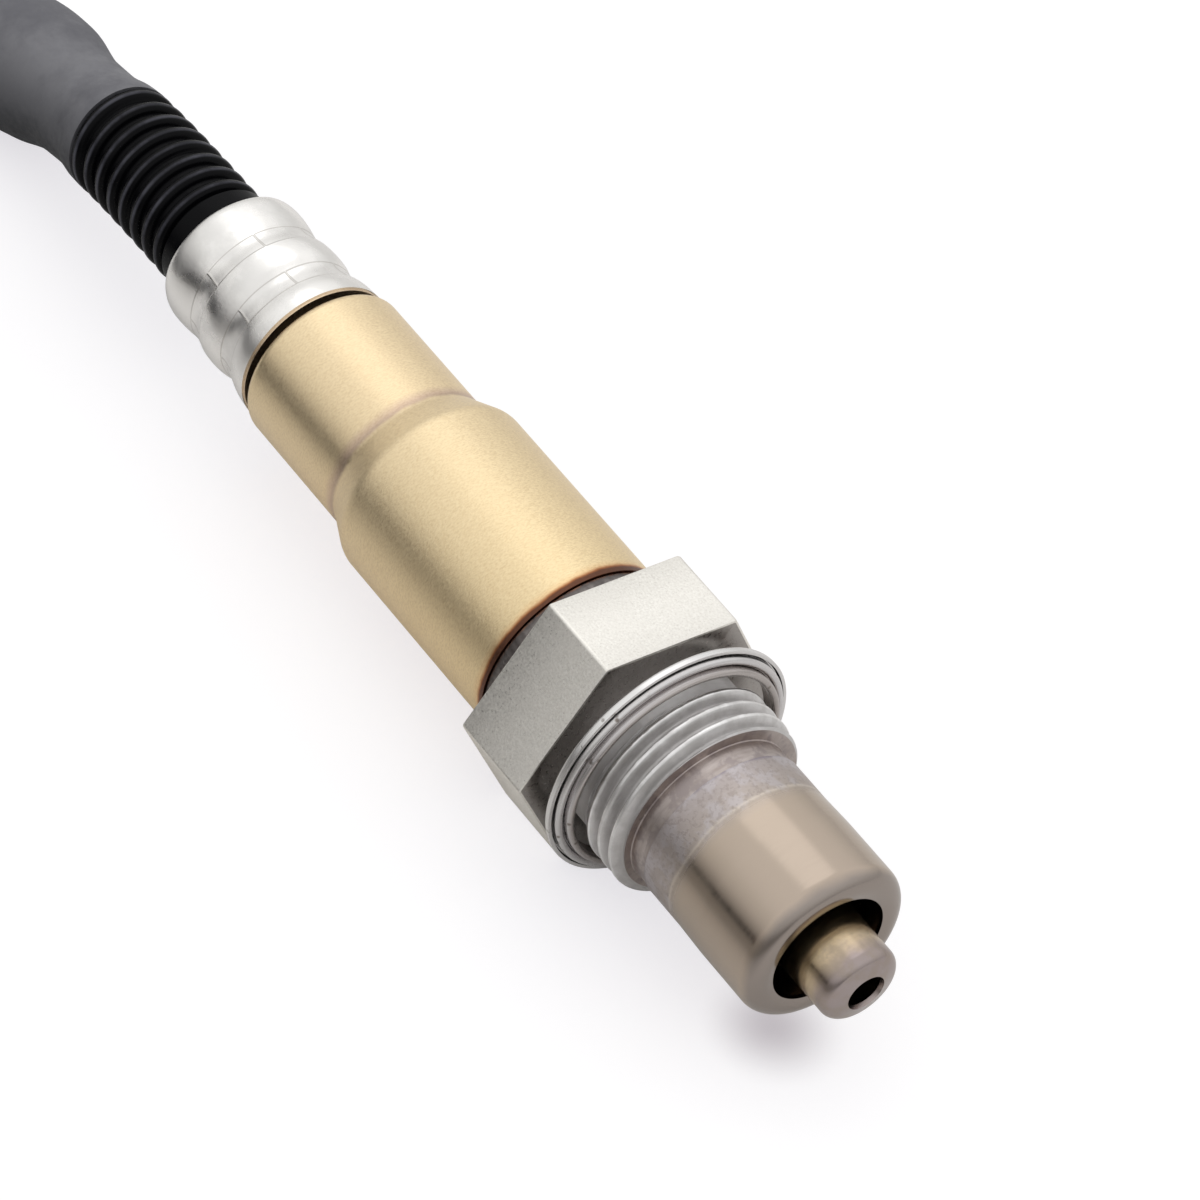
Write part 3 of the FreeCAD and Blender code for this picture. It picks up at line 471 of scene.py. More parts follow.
milled_steel, tree, shader, place = new_material("milled_steel", 0.42)
speckle = noise(tree, place, 5200.0, 3.0, 0.7)
cloudy = patchy(tree, place, 260.0, 0.35, 0.7)
colour = mixed(tree, span(tree, speckle, 0.30, 0.70), (0.74, 0.715, 0.66), (0.98, 0.955, 0.895))
colour = mixed(tree, calc(tree, "MULTIPLY", cloudy, 0.4), colour, (0.87, 0.84, 0.785))
painted(tree, shader, colour)
roughened(tree, shader, speckle, 0.26, 0.44)
bumped(tree, shader, speckle, 0.35, 0.00003)

thread_steel, tree, shader, place = new_material("thread_steel", 0.45)
smear = tooled(tree, place, 2600.0, 160.0)
dirt = patchy(tree, place, 420.0, 0.42, 0.62)
# Crests are painted lighter and roots darker by their distance from the axis: painted highlight and painted shade.
out = span(tree, use(tree, axis_distance, Vector=place), thread_root * MM, thread_crest * MM)
crest_light_root_shade = ramp(tree, out, [
    (0.0, 0.56, 0.545, 0.54), (0.40, 0.70, 0.685, 0.68), (0.88, 0.76, 0.75, 0.745), (0.97, 0.99, 0.98, 0.97),
])
colour = mixed(tree, span(tree, smear, 0.35, 0.65, 0.45, 0.0), crest_light_root_shade, (0.48, 0.465, 0.46))
colour = mixed(tree, calc(tree, "MULTIPLY", dirt, 0.35), colour, (0.40, 0.385, 0.37))
painted(tree, shader, colour)
tree.links.new(span(tree, out, 0.3, 1.0, 0.52, 0.28), shader.inputs["Roughness"])
bumped(tree, shader, smear, 0.6, 0.00005)

weld_steel, tree, shader, place = new_material("weld_steel", 0.40)
scale = patchy(tree, place, 900.0, 0.4, 0.6)
where = axis_of(tree, place, "X")
along = span(tree, where, weld_end * MM, -hex_length * MM)
tint = ramp(tree, along, [
    (0.0, 0.40, 0.19, 0.10), (0.15, 0.13, 0.115, 0.11), (0.45, 0.30, 0.275, 0.26), (0.62, 0.11, 0.10, 0.10),
    (0.85, 0.20, 0.175, 0.165), (1.0, 0.38, 0.17, 0.09),
])
painted(tree, shader, mixed(tree, scale, tint, (0.13, 0.115, 0.11)))
bumped(tree, shader, scale, 0.4, 0.00004)

band_steel, tree, shader, place = new_material("tinted_band_steel", 0.38)
rub = tooled(tree, place, 1800.0, 300.0)
spots = patchy(tree, place, 700.0, 0.45, 0.6)
colour = mixed(tree, span(tree, rub, 0.35, 0.65), (0.38, 0.325, 0.30), (0.54, 0.48, 0.455))
painted(tree, shader, mixed(tree, spots, colour, (0.36, 0.31, 0.30)))
bumped(tree, shader, rub, 0.3, 0.00003)

# The hexagon's turned front face is painted much darker than its flats: painted shade for the shaded sheet it reflects.
painted_shade_face, tree, shader, place = new_material("turned_face_steel_painted_shade", 0.30)
arcs = tooled(tree, place, 500.0, 2600.0)
colour = mixed(tree, span(tree, arcs, 0.35, 0.65), (0.33, 0.305, 0.285), (0.39, 0.365, 0.345))
painted(tree, shader, colour)
roughened(tree, shader, arcs, 0.24, 0.38)
bumped(tree, shader, arcs, 0.2, 0.00003)

for material in (milled_steel, thread_steel, weld_steel, band_steel, painted_shade_face):
    housing.data.materials.append(material)
for face in housing.data.polygons:
    along = face.center.x / MM
    radius = math.hypot(face.center.y, face.center.z) / MM
    if along > thread_end - 0.01:
        face.material_index = 3
    elif along > 0.05 and radius < 9.1:
        face.material_index = 1
    elif along < -hex_length + 0.001 and radius < 9.25:
        face.material_index = 2
    elif along > -0.02:
        face.material_index = 4
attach(housing, "root")
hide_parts("hex_housing")


# Sealing ring
# A gasket folded from thin stainless sheet: a turned-up rim, a flat that bears on the boss, and a rolled inner lip.
# It is loose on the thread, so it has slid forward and sits a little to one side.
ring_sheet = 0.28
ring_radius = 11.5
ring_bore = 9.56
ring_rear = 2.15
ring_offset = (-0.15, 0.5)
half = ring_sheet / 2
rim = ring_radius - half
flat_edge = rim - ring_sheet - 0.2
bore = ring_bore + half
lip = bore + 0.7 - ring_sheet
fold = lip + ring_sheet + 0.08
lip_top = 1.75 - half
flat = 1.2 - half
valley = flat - 0.4
ring_middle = rounded_line([
    (0.72, rim, 0), (half, rim, 0.25), (half, bore, 0.25), (lip_top, bore, 0.2), (lip_top, lip, 0.2),
    (valley, lip, 0.17), (valley, fold, 0.17), (flat, fold, 0.17), (flat, flat_edge, 0.17),
    (half + ring_sheet + 0.1, flat_edge, 0),
])
ring_profile = [point + Vector((ring_rear, 0)) for point in sheet_loop(ring_middle, ring_sheet)]
ring = turned("folded_ring", lambda angle: ring_profile, even_angles, ring_offset)

polished_sheet, tree, shader, place = new_material("polished_sheet", 0.24)
pits = add(tree, "ShaderNodeTexVoronoi", {"Vector": place, "Scale": 900.0, "Randomness": 1.0})
pit = span(tree, pits.outputs["Distance"], 0.10, 0.22)
sparse = patchy(tree, place, 230.0, 0.44, 0.50)
hollow = calc(tree, "MAXIMUM", pit, sparse)
lines = tooled(tree, place, 5200.0, 120.0)
# The sheet is painted darker towards the bore and lighter at the rim: painted shade in the folds and a painted
# highlight on the rim.
out = span(tree, use(tree, axis_distance, Vector=place, Middle=ring_offset[1] * MM), ring_bore * MM, ring_radius * MM)
painted_radial_shade = ramp(tree, out, [
    (0.0, 0.32, 0.285, 0.265), (0.32, 0.42, 0.38, 0.36), (0.45, 0.58, 0.56, 0.565), (0.80, 0.66, 0.645, 0.64),
    (1.0, 0.80, 0.79, 0.78),
])
colour = mixed(tree, span(tree, lines, 0.3, 0.7, 0.0, 0.25), painted_radial_shade, (0.88, 0.86, 0.85))
painted(tree, shader, mixed(tree, hollow, (0.25, 0.22, 0.20), colour))
roughened(tree, shader, lines, 0.18, 0.32)
bumped(tree, shader, hollow, 0.5, 0.00003)
ring.data.materials.append(polished_sheet)
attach(ring, "root")
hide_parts("sealing_ring")


# Outer shield
# A cup deep-drawn from heat-resistant steel, with its rim rolled in round a wide mouth.
# It is pressed on the housing's spigot and welded there, which left a pale smeared zone and a bluish line.
shield_sheet = 0.5
shield_front = 24.9
shield_radius = 7.68
shield_seat_radius = 7.58
mouth_radius = 5.32
half = shield_sheet / 2
shield_middle = rounded_line([
    (band_end, shield_seat_radius - half, 0), (14.5, shield_seat_radius - half, 6.0), (17.5, shield_radius - half, 6.0),
    (shield_front - half + 0.1, shield_radius - half, 1.35), (shield_front - half - 0.45, mouth_radius, 0),
], 16)
shield_profile = sheet_loop(shield_middle, shield_sheet)
shield = turned("gas_shield", lambda angle: shield_profile, even_angles)

shield_steel, tree, shader, place = new_material("heat_tinted_steel", 0.27)
where = axis_of(tree, place, "X")
shifted = calc(tree, "MULTIPLY_ADD", noise(tree, place, 260.0, 4.0), 0.0011, where)
along = span(tree, shifted, band_end * MM, shield_front * MM)
# From about 24 mm to the front the ramp darkens: painted shade on the rim's face round the mouth.
taupe_and_front_shade = ramp(tree, along, [
    (0.0, 0.20, 0.17, 0.20), (0.02, 0.24, 0.21, 0.26), (0.05, 0.46, 0.41, 0.40), (0.26, 0.47, 0.41, 0.37),
    (0.275, 0.62, 0.55, 0.48), (0.29, 0.47, 0.40, 0.34), (0.36, 0.50, 0.415, 0.335), (0.93, 0.50, 0.415, 0.34),
    (0.975, 0.34, 0.295, 0.265),
])
zone = span(tree, shifted, 0.0151, 0.0143)
smear = patchy(tree, place, 520.0, 0.46, 0.60)
grit = patchy(tree, place, 2600.0, 0.50, 0.62)
pale_share = calc(tree, "MULTIPLY", zone, smear)
gritty = calc(tree, "MULTIPLY", zone, grit)
colour = mixed(tree, calc(tree, "MULTIPLY", pale_share, 0.45), taupe_and_front_shade, (0.58, 0.55, 0.58))
colour = mixed(tree, calc(tree, "MULTIPLY", gritty, 0.35), colour, (0.30, 0.25, 0.23))
painted(tree, shader, colour)
marks = tooled(tree, place, 3600.0, 260.0)
rough = span(tree, marks, 0.3, 0.7, 0.17, 0.24)
rougher = calc(tree, "MULTIPLY_ADD", zone, 0.20, rough)
tree.links.new(rougher, shader.inputs["Roughness"])
texture = calc(tree, "MULTIPLY_ADD", gritty, 1.5, marks)
bumped(tree, shader, texture, 0.22, 0.00003)
shield.data.materials.append(shield_steel)
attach(shield, "root")
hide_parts("outer_shield")


# Inner shield
# A second drawn tube round the ceramic element, with a narrow nozzle; the side inlets of its chamber are left out of
# this tube.
# The gas leaves through the nozzle's hole. The heat has turned it olive bronze, and purplish at its nose.
inner_sheet = 0.4
nozzle_front = 29.46
nozzle_radius = 3.6
inner_radius = 5.2
hole_radius = 1.66
half = inner_sheet / 2
inner_middle = rounded_line([
    (spigot_end + half, 6.7, 0), (spigot_end + half, inner_radius - half, 0.4), (20.6, inner_radius - half, 1.0),
    (22.4, nozzle_radius - half, 1.0), (nozzle_front - 0.75, nozzle_radius - half, 0.85),
    (nozzle_front - half, hole_radius, 0),
], 14)
inner_profile = sheet_loop(inner_middle, inner_sheet)
nozzle = turned("nozzle_tube", lambda angle: inner_profile, even_angles)

nozzle_steel, tree, shader, place = new_material("bronze_tinted_steel", 0.30)
where = axis_of(tree, place, "X")
shifted = calc(tree, "MULTIPLY_ADD", noise(tree, place, 420.0, 4.0), 0.0016, where)
along = span(tree, shifted, 0.0225, 0.0305)
# Up to about 23.6 mm, inside the shield's mouth, the tube is painted nearly black and lightens towards 25 mm: painted
# shade.
bronze_and_mouth_shade = ramp(tree, along, [
    (0.0, 0.06, 0.05, 0.04), (0.14, 0.10, 0.08, 0.055), (0.32, 0.46, 0.36, 0.22), (0.47, 0.60, 0.475, 0.29),
    (0.66, 0.56, 0.445, 0.31), (0.80, 0.38, 0.315, 0.30), (1.0, 0.40, 0.345, 0.335),
])
blotch = patchy(tree, place, 700.0, 0.4, 0.66)
painted(tree, shader, mixed(tree, calc(tree, "MULTIPLY", blotch, 0.5), bronze_and_mouth_shade, (0.34, 0.28, 0.22)))
marks = tooled(tree, place, 3000.0, 500.0)
roughened(tree, shader, marks, 0.17, 0.27)
bumped(tree, shader, marks, 0.2, 0.00003)
nozzle.data.materials.append(nozzle_steel)
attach(nozzle, "root")
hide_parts("inner_shield")


# Body sleeve
# One stepped tube of thin stainless sheet over the ceramic packing, its rear end turned in to a neck.
# It is brushed round its axis, and annealing has given it a pale gold skin, copper coloured at the weld.
sleeve_sheet = 0.42
sleeve_radius = 9.02
gap_rear = -0.04894         # the gap in front of the liner's flange is painted dark: painted shade
gap_front = -0.04815
small_radius = 7.65
neck_radius = 5.8
sleeve_rear = -48.35
neck_rear = -57.6
half = sleeve_sheet / 2
sleeve_middle = rounded_line([
    (weld_end, sleeve_radius - half, 0), (-31.2, sleeve_radius - half, 2.2), (-34.3, small_radius - half, 2.0),
    (sleeve_rear + half, small_radius - half, 0.75), (sleeve_rear + half, neck_radius - half, 0.4),
    (neck_rear, neck_radius - half, 0),
], 14)
sleeve_profile = sheet_loop(sleeve_middle, sleeve_sheet)
sleeve = turned("gold_sleeve", lambda angle: sleeve_profile, even_angles)

gold_steel, tree, shader, place = new_material("pale_gold_steel", 0.33)
where = axis_of(tree, place, "X")
shifted = calc(tree, "MULTIPLY_ADD", noise(tree, place, 320.0, 3.0), 0.0007, where)
along = span(tree, shifted, -0.0485, weld_end * MM)
# The ramp starts darker on the rear shoulder: painted shade.
gold_and_shoulder_shade = ramp(tree, along, [
    (0.0, 0.76, 0.60, 0.42), (0.03, 0.95, 0.78, 0.51), (0.345, 0.95, 0.775, 0.505), (0.366, 0.74, 0.57, 0.42),
    (0.374, 0.62, 0.47, 0.36), (0.384, 0.93, 0.765, 0.50), (0.975, 0.95, 0.77, 0.475), (0.990, 0.90, 0.66, 0.37),
    (0.9945, 0.50, 0.20, 0.08), (1.0, 0.15, 0.07, 0.045),
])
strokes = tooled(tree, place, 9500.0, 3400.0)
bands = tooled(tree, place, 1500.0, 40.0)
darker = mixed(tree, 1.0, gold_and_shoulder_shade, (0.85, 0.81, 0.76), "MULTIPLY")
colour = mixed(tree, span(tree, strokes, 0.34, 0.60), darker, gold_and_shoulder_shade)
# Between the liner's flange and the shoulder the sleeve is painted nearly black: painted shade in the gap.
in_front = span(tree, where, gap_rear, gap_rear + 0.00004)
painted_gap_shade = calc(tree, "MULTIPLY", in_front, span(tree, where, gap_front, gap_front - 0.00012))
colour = mixed(tree, painted_gap_shade, colour, (0.035, 0.028, 0.020))
painted(tree, shader, colour)
roughened(tree, shader, strokes, 0.28, 0.42)
texture = calc(tree, "MULTIPLY_ADD", bands, 0.35, strokes)
texture = calc(tree, "MULTIPLY", texture, span(tree, where, -0.0345, -0.0325, 0.45, 1.0))
bumped(tree, shader, texture, 0.75, 0.00004)
sleeve.data.materials.append(gold_steel)
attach(sleeve, "root")
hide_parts("body_sleeve")


# Ferrule and liner
# A bright pressed sheet ferrule that grips the boot, crimped all round in two rows of flat dents.
# A thin golden liner runs under it and ends in a flange in front of its edge.
ferrule_sheet = 0.4
ferrule_points = (
    (-49.2, 7.26), (-50.6, 7.12), (-51.95, 6.77), (-53.1, 6.60), (-54.3, 6.88), (-55.5, 6.95), (-56.6, 6.85),
    (-57.7, 6.60), (-58.6, 6.58), (-59.9, 6.74), (-61.2, 6.82), (-62.1, 6.74), (-62.6, 6.48), (-62.9, 5.95),
)
crimp_rows = (-52.5, -57.5)
crimp_count = 8
crimp_turn = 33.6
crimp_half_length = 0.85
crimp_half_width = 2.45
crimp_depth = 0.035
crimp_wall = 0.16


def smooth_value(points, place):
    """Height of a smooth curve through points, at a place along it."""
    ordered = sorted(points)
    k = 0
    while k < len(ordered) - 2 and place > ordered[k + 1][0]:
        k += 1
    before, here = ordered[max(k - 1, 0)], ordered[k]
    there, after = ordered[k + 1], ordered[min(k + 2, len(ordered) - 1)]
    width = there[0] - here[0]
    slope_here = (there[1] - before[1]) / (there[0] - before[0])
    slope_there = (after[1] - here[1]) / (after[0] - here[0])
    t = min(max((place - here[0]) / width, 0), 1)
    return (
        (2 * t**3 - 3 * t**2 + 1) * here[1] + (t**3 - 2 * t**2 + t) * width * slope_here
        + (3 * t**2 - 2 * t**3) * there[1] + (t**3 - t**2) * width * slope_there
    )


def soft_step(value, low, high):
    """Smooth step from 0 to 1 between two values."""
    t = min(max((value - low) / (high - low), 0), 1)
    return t * t * (3 - 2 * t)


def dent_share(along, angle):
    """1 on the floor of a crimp, 0 outside it, and between them on its wall."""
    part = 2 * math.pi / crimp_count
    from_middle = (angle - math.radians(90 + crimp_turn) + part / 2) % part - part / 2
    side = soft_step(crimp_half_width - abs(from_middle) * 6.6, -crimp_wall, 0)
    ends = [soft_step(crimp_half_length - abs(along - row), -crimp_wall, 0) for row in crimp_rows]
    return side * max(ends)


ferrule_front = ferrule_points[0][0]
ferrule_rear = ferrule_points[-1][0]
ferrule_places = [ferrule_front + (ferrule_rear - ferrule_front) * k / 120 for k in range(121)]
ferrule_angles = [2 * math.pi * k / 220 for k in range(220)]
for step in range(6):
    wall = crimp_wall * (step + 0.03) / 5
    for row in crimp_rows:
        ferrule_places += [row - crimp_half_length - wall, row + crimp_half_length + wall]
    for k in range(crimp_count):
        middle = math.radians(90 + crimp_turn + 360 * k / crimp_count)
        reach = (crimp_half_width + wall) / 6.6
        ferrule_angles += [(middle - reach) % (2 * math.pi), (middle + reach) % (2 * math.pi)]
ferrule_places.sort(reverse=True)
ferrule_angles.sort()


def ferrule_outline(angle):
    """Closed outline of the ferrule at one angle round the axis."""
    outside = []
    inside = []
    for along in ferrule_places:
        radius = smooth_value(ferrule_points, along) - crimp_depth * dent_share(along, angle)
        wave = 0.035 * math.sin(3 * angle + 0.5 * along) + 0.02 * math.sin(7 * angle - 0.9 * along)
        shown = soft_step(abs(along - ferrule_front), 0.3, 2.5)
        outside.append((along, radius + wave * shown))
        inside.append((along, radius + wave * shown - ferrule_sheet))
    return outside + inside[::-1]


ferrule = turned("crimped_ferrule", ferrule_outline, ferrule_angles)
crease = ferrule.data.attributes.new("crease", "FLOAT", "POINT")
for vertex in ferrule.data.vertices:
    share = dent_share(vertex.co.x / MM, math.atan2(vertex.co.z, vertex.co.y))
    crease.data[vertex.index].value = 4 * share * (1 - share)

bright_sheet, tree, shader, place = new_material("bright_pressed_sheet", 0.38)
cloudy = patchy(tree, place, 190.0, 0.40, 0.64)
fine = noise(tree, place, 2600.0, 3.0)
colour = mixed(tree, cloudy, (0.97, 0.95, 0.92), (0.84, 0.825, 0.80))
line = add(tree, "ShaderNodeAttribute", attribute_name="crease").outputs["Fac"]
colour = mixed(tree, calc(tree, "MULTIPLY", line, 0.55), colour, (0.42, 0.39, 0.35))
painted(tree, shader, colour)
tree.links.new(span(tree, cloudy, 0.0, 1.0, 0.22, 0.36), shader.inputs["Roughness"])
texture = calc(tree, "MULTIPLY_ADD", cloudy, 1.2, fine)
bumped(tree, shader, texture, 0.18, 0.00004)
ferrule.data.materials.append(bright_sheet)
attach(ferrule, "root")
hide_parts("crimp_ferrule")

liner_sheet = 0.25
half = liner_sheet / 2
liner_radius = 5.82 + half
liner_rear = -57.9
flange_radius = 7.12
liner_middle = rounded_line([
    (ferrule_front + half, flange_radius, 0), (ferrule_front + half, liner_radius, 0.3), (liner_rear, liner_radius, 0),
])
liner_profile = sheet_loop(liner_middle, liner_sheet)
liner = turned("ferrule_liner_flange", lambda angle: liner_profile, even_angles)
liner.data.materials.append(gold_steel)
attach(liner, "root")
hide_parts("ferrule_liner")


# Corrugated boot
# A glossy black rubber bellows, gripped by the ferrule, that lets the lead droop without a kink.
# Geometry Nodes sweep it along its centre line, with a radius that rises at each rib.
boot_route = (
    (-0.058, 0.0, 0.0), (-0.075, 0.0, 0.0), (-0.087, 0.00035, -0.0025), (-0.097, 0.0001, -0.0045),
    (-0.106, -0.0042, -0.0047),
)
boot_root = 0.00475
boot_crest = 0.00535
boot_collar = 0.0061
boot_band = 0.0053
band_end_length = 0.0071
rib_round = 0.00062
rib_pitch = 0.001907
rib_count = 8
first_rib = 0.0083
collar_end = 0.0040
boot_end = first_rib + (rib_count - 1) * rib_pitch + rib_round + 0.0040
cuff_overlap = 0.0038       # the boot's neck inside the cuff
cuff_inset = 0.0005
crest_half = 0.00020        # the painted highlight line on each rib lies a little behind its top
crest_shift = 0.00010


def route_curve(name, points):
    """Smooth line with the route's points as its control points."""
    curve = bpy.data.curves.new(name, "CURVE")
    curve.dimensions = "3D"
    curve.resolution_u = 24
    spline = curve.splines.new("NURBS")
    spline.points.add(len(points) - 1)
    for point, place in zip(spline.points, points):
        point.co = (*place, 1)
    spline.order_u = 3
    spline.use_endpoint_u = True
    line = bpy.data.objects.new(name, curve)
    bpy.context.collection.objects.link(line)
    return line


glossy_rubber, tree, shader, place = new_material("glossy_black_rubber", 0.30, 0.0)
fine = noise(tree, place, 1800.0, 4.0)
highlight_patches = patchy(tree, place, 300.0, 0.38, 0.66)
# Each rib is painted lighter in a thin, patchy line near its top: a painted highlight.
crest_highlight = add(tree, "ShaderNodeAttribute", attribute_name="crest_highlight").outputs["Fac"]
pale_share = calc(tree, "MULTIPLY", crest_highlight, span(tree, highlight_patches, 0.0, 1.0, 0.35, 1.0))
painted(tree, shader, mixed(tree, pale_share, (0.0015, 0.0015, 0.0022), (0.070, 0.070, 0.085)))
roughened(tree, shader, fine, 0.24, 0.36)
shader.inputs["Specular IOR Level"].default_value = 0.08
bumped(tree, shader, fine, 0.12, 0.00003)

ribbed = bpy.data.node_groups.new("ribbed_sweep", "GeometryNodeTree")
ribbed.interface.new_socket("Geometry", in_out="INPUT", socket_type="NodeSocketGeometry")
for title, value in (
    ("Root Radius", boot_root), ("Crest Radius", boot_crest), ("Collar Radius", boot_collar),
    ("Band Radius", boot_band), ("Band End", band_end_length), ("Rib Round", rib_round),
    ("Pitch", rib_pitch), ("First Rib", first_rib), ("Collar End", collar_end), ("Boot End", boot_end),
):
    ribbed.interface.new_socket(title, in_out="INPUT", socket_type="NodeSocketFloat").default_value = value
ribbed.interface.new_socket("Ribs", in_out="INPUT", socket_type="NodeSocketInt").default_value = rib_count
ribbed.interface.new_socket("Material", in_out="INPUT", socket_type="NodeSocketMaterial")
ribbed.interface.new_socket("Geometry", in_out="OUTPUT", socket_type="NodeSocketGeometry")
entry = add(ribbed, "NodeGroupInput").outputs
result = add(ribbed, "NodeGroupOutput")
cut_line = add(ribbed, "GeometryNodeTrimCurve", {
    "Curve": entry["Geometry"], 4: 0.0, 5: entry["Boot End"],
}, mode="LENGTH")
dense = add(ribbed, "GeometryNodeResampleCurve", {"Curve": cut_line.outputs[0], "Length": 0.00006}, mode="LENGTH")
length = add(ribbed, "GeometryNodeSplineParameter").outputs["Length"]


def rib_calc(operation, *values):
    """Result of a Math node in the ribbed sweep."""
    return calc(ribbed, operation, *values)


from_first = rib_calc("SUBTRACT", length, entry["First Rib"])
number = rib_calc("ROUND", rib_calc("DIVIDE", from_first, entry["Pitch"]))
number = rib_calc("MINIMUM", rib_calc("MAXIMUM", number, 0.0), rib_calc("SUBTRACT", entry["Ribs"], 1.0))
aside = rib_calc("SUBTRACT", from_first, rib_calc("MULTIPLY", number, entry["Pitch"]))
square = rib_calc("SUBTRACT", rib_calc("POWER", entry["Rib Round"], 2.0), rib_calc("MULTIPLY", aside, aside))
bulge = rib_calc("SQRT", rib_calc("MAXIMUM", square, 0.0))
rib_top = rib_calc("ADD", rib_calc("SUBTRACT", entry["Crest Radius"], entry["Rib Round"]), bulge)
wall = rib_calc("MAXIMUM", rib_top, entry["Root Radius"])
in_band = rib_calc("LESS_THAN", length, entry["Band End"])
wall = rib_calc("MAXIMUM", wall, rib_calc("MULTIPLY", in_band, entry["Band Radius"]))
in_collar = rib_calc("LESS_THAN", length, entry["Collar End"])
wall = rib_calc("MULTIPLY_ADD", in_collar, rib_calc("SUBTRACT", entry["Collar Radius"], wall), wall)
in_cuff = rib_calc("GREATER_THAN", length, rib_calc("SUBTRACT", entry["Boot End"], cuff_overlap))
radius = rib_calc("MULTIPLY_ADD", in_cuff, -cuff_inset, wall)
hoop = add(ribbed, "GeometryNodeCurvePrimitiveCircle", {"Resolution": 96, "Radius": 1.0})
# The painted highlight's line on each rib, 1 at its middle.
crest_highlight = rib_calc("DIVIDE", rib_calc("ADD", aside, crest_shift), crest_half)
crest_highlight = rib_calc("MAXIMUM", rib_calc("SUBTRACT", 1.0, rib_calc("MULTIPLY", crest_highlight, crest_highlight)), 0.0)
marked = add(ribbed, "GeometryNodeStoreNamedAttribute", {
    "Geometry": dense.outputs[0], "Name": "crest_highlight", "Value": crest_highlight,
}, data_type="FLOAT", domain="POINT")
swept = add(ribbed, "GeometryNodeCurveToMesh", {
    "Curve": marked.outputs[0], "Profile Curve": hoop.outputs[0], "Scale": radius, "Fill Caps": True,
})
real = add(ribbed, "GeometryNodeRealizeInstances", {"Geometry": swept.outputs[0]})
dressed = add(ribbed, "GeometryNodeSetMaterial", {"Geometry": real.outputs[0], "Material": entry["Material"]})
ribbed.links.new(dressed.outputs[0], result.inputs["Geometry"])


boot_line = route_curve("boot_line", boot_route)
sweep = boot_line.modifiers.new("ribs", "NODES")
sweep.node_group = ribbed
for item in ribbed.interface.items_tree:
    if item.name == "Material":
        sweep[item.identifier] = glossy_rubber
bpy.context.view_layer.update()
boot_mesh = bpy.data.meshes.new_from_object(boot_line.evaluated_get(bpy.context.evaluated_depsgraph_get()))
boot_mesh.name = "ribbed_boot"
bpy.data.objects.remove(boot_line)
outward(boot_mesh)
boot = new_piece("ribbed_boot", boot_mesh, 40)
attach(boot, "root")
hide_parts("corrugated_boot")


# Cable cuff
# A soft grey sleeve moulded over the boot's rear neck and the lead, which narrows, swells and runs out.
# It is lofted along the same line, with matt, slightly dusty rubber.
cuff_points = (
    (0.0, 5.34), (1.6, 5.24), (2.6, 5.06), (3.8, 4.92), (6.0, 4.93), (8.0, 5.02), (9.6, 5.34), (11.6, 5.85),
    (13.0, 6.05), (15.6, 6.25), (20.0, 6.10), (24.6, 5.15), (27.4, 4.5),
)
cuff_start = first_rib + (rib_count - 1) * rib_pitch + rib_round + 0.00005


def at_length(spots, length):
    """Point and direction at a length along close points."""
    for before, after in zip(spots[:-1], spots[1:]):
        step = (after - before).length
        if length <= step or after == spots[-1]:
            return before + (after - before) * (length / step), (after - before).normalized()
        length -= step


measuring_line = route_curve("measuring_line", boot_route)
bpy.context.view_layer.update()
line_mesh = bpy.data.meshes.new_from_object(measuring_line.evaluated_get(bpy.context.evaluated_depsgraph_get()))
cuff_line = [vertex.co.copy() for vertex in line_mesh.vertices]
bpy.data.objects.remove(measuring_line)
bpy.data.meshes.remove(line_mesh)
line_length = sum((after - before).length for before, after in zip(cuff_line[:-1], cuff_line[1:]))
cuff_steps = 120
cuff_sides = 96
core_radius = 3.4
rings = []
for k in range(cuff_steps + 1):
    share = k / cuff_steps
    distance = cuff_start + (line_length - cuff_start) * share
    rings.append((distance, smooth_value(cuff_points, share * cuff_points[-1][0])))
for k in range(cuff_steps, -1, -1):
    rings.append((rings[k][0], core_radius))
loops = []
for distance, radius in rings:
    spot, way = at_length(cuff_line, distance)
    across = way.cross(Vector((0, 0, 1))).normalized()
    rise = across.cross(way)
    loop = []
    for side in range(cuff_sides):
        angle = 2 * math.pi * side / cuff_sides
        loop.append(spot + (across * math.cos(angle) + rise * math.sin(angle)) * (radius * MM))
    loops.append(loop)
cuff = closed_loft("moulded_cuff", loops)

grey_rubber, tree, shader, place = new_material("matt_grey_rubber", 0.62, 0.0)
fine = noise(tree, place, 1500.0, 5.0, 0.65)
dusty = patchy(tree, place, 130.0, 0.36, 0.66)
# Lighter on top and darker underneath, by the normal: painted light and shade, in clean and dusty rubber alike.
upward = axis_of(tree, add(tree, "ShaderNodeNewGeometry").outputs["Normal"], "Z")
painted_light_share = span(tree, upward, -0.3, 0.9)
clean_with_painted_shade = mixed(tree, painted_light_share, (0.016, 0.017, 0.021), (0.120, 0.120, 0.135))
colour = mixed(tree, dusty, clean_with_painted_shade, mixed(tree, painted_light_share, (0.024, 0.025, 0.031), (0.190, 0.190, 0.205)))
painted(tree, shader, colour)
roughened(tree, shader, fine, 0.52, 0.72)
bumped(tree, shader, fine, 0.25, 0.00004)
cuff.data.materials.append(grey_rubber)
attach(cuff, "root")
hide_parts("cable_cuff")


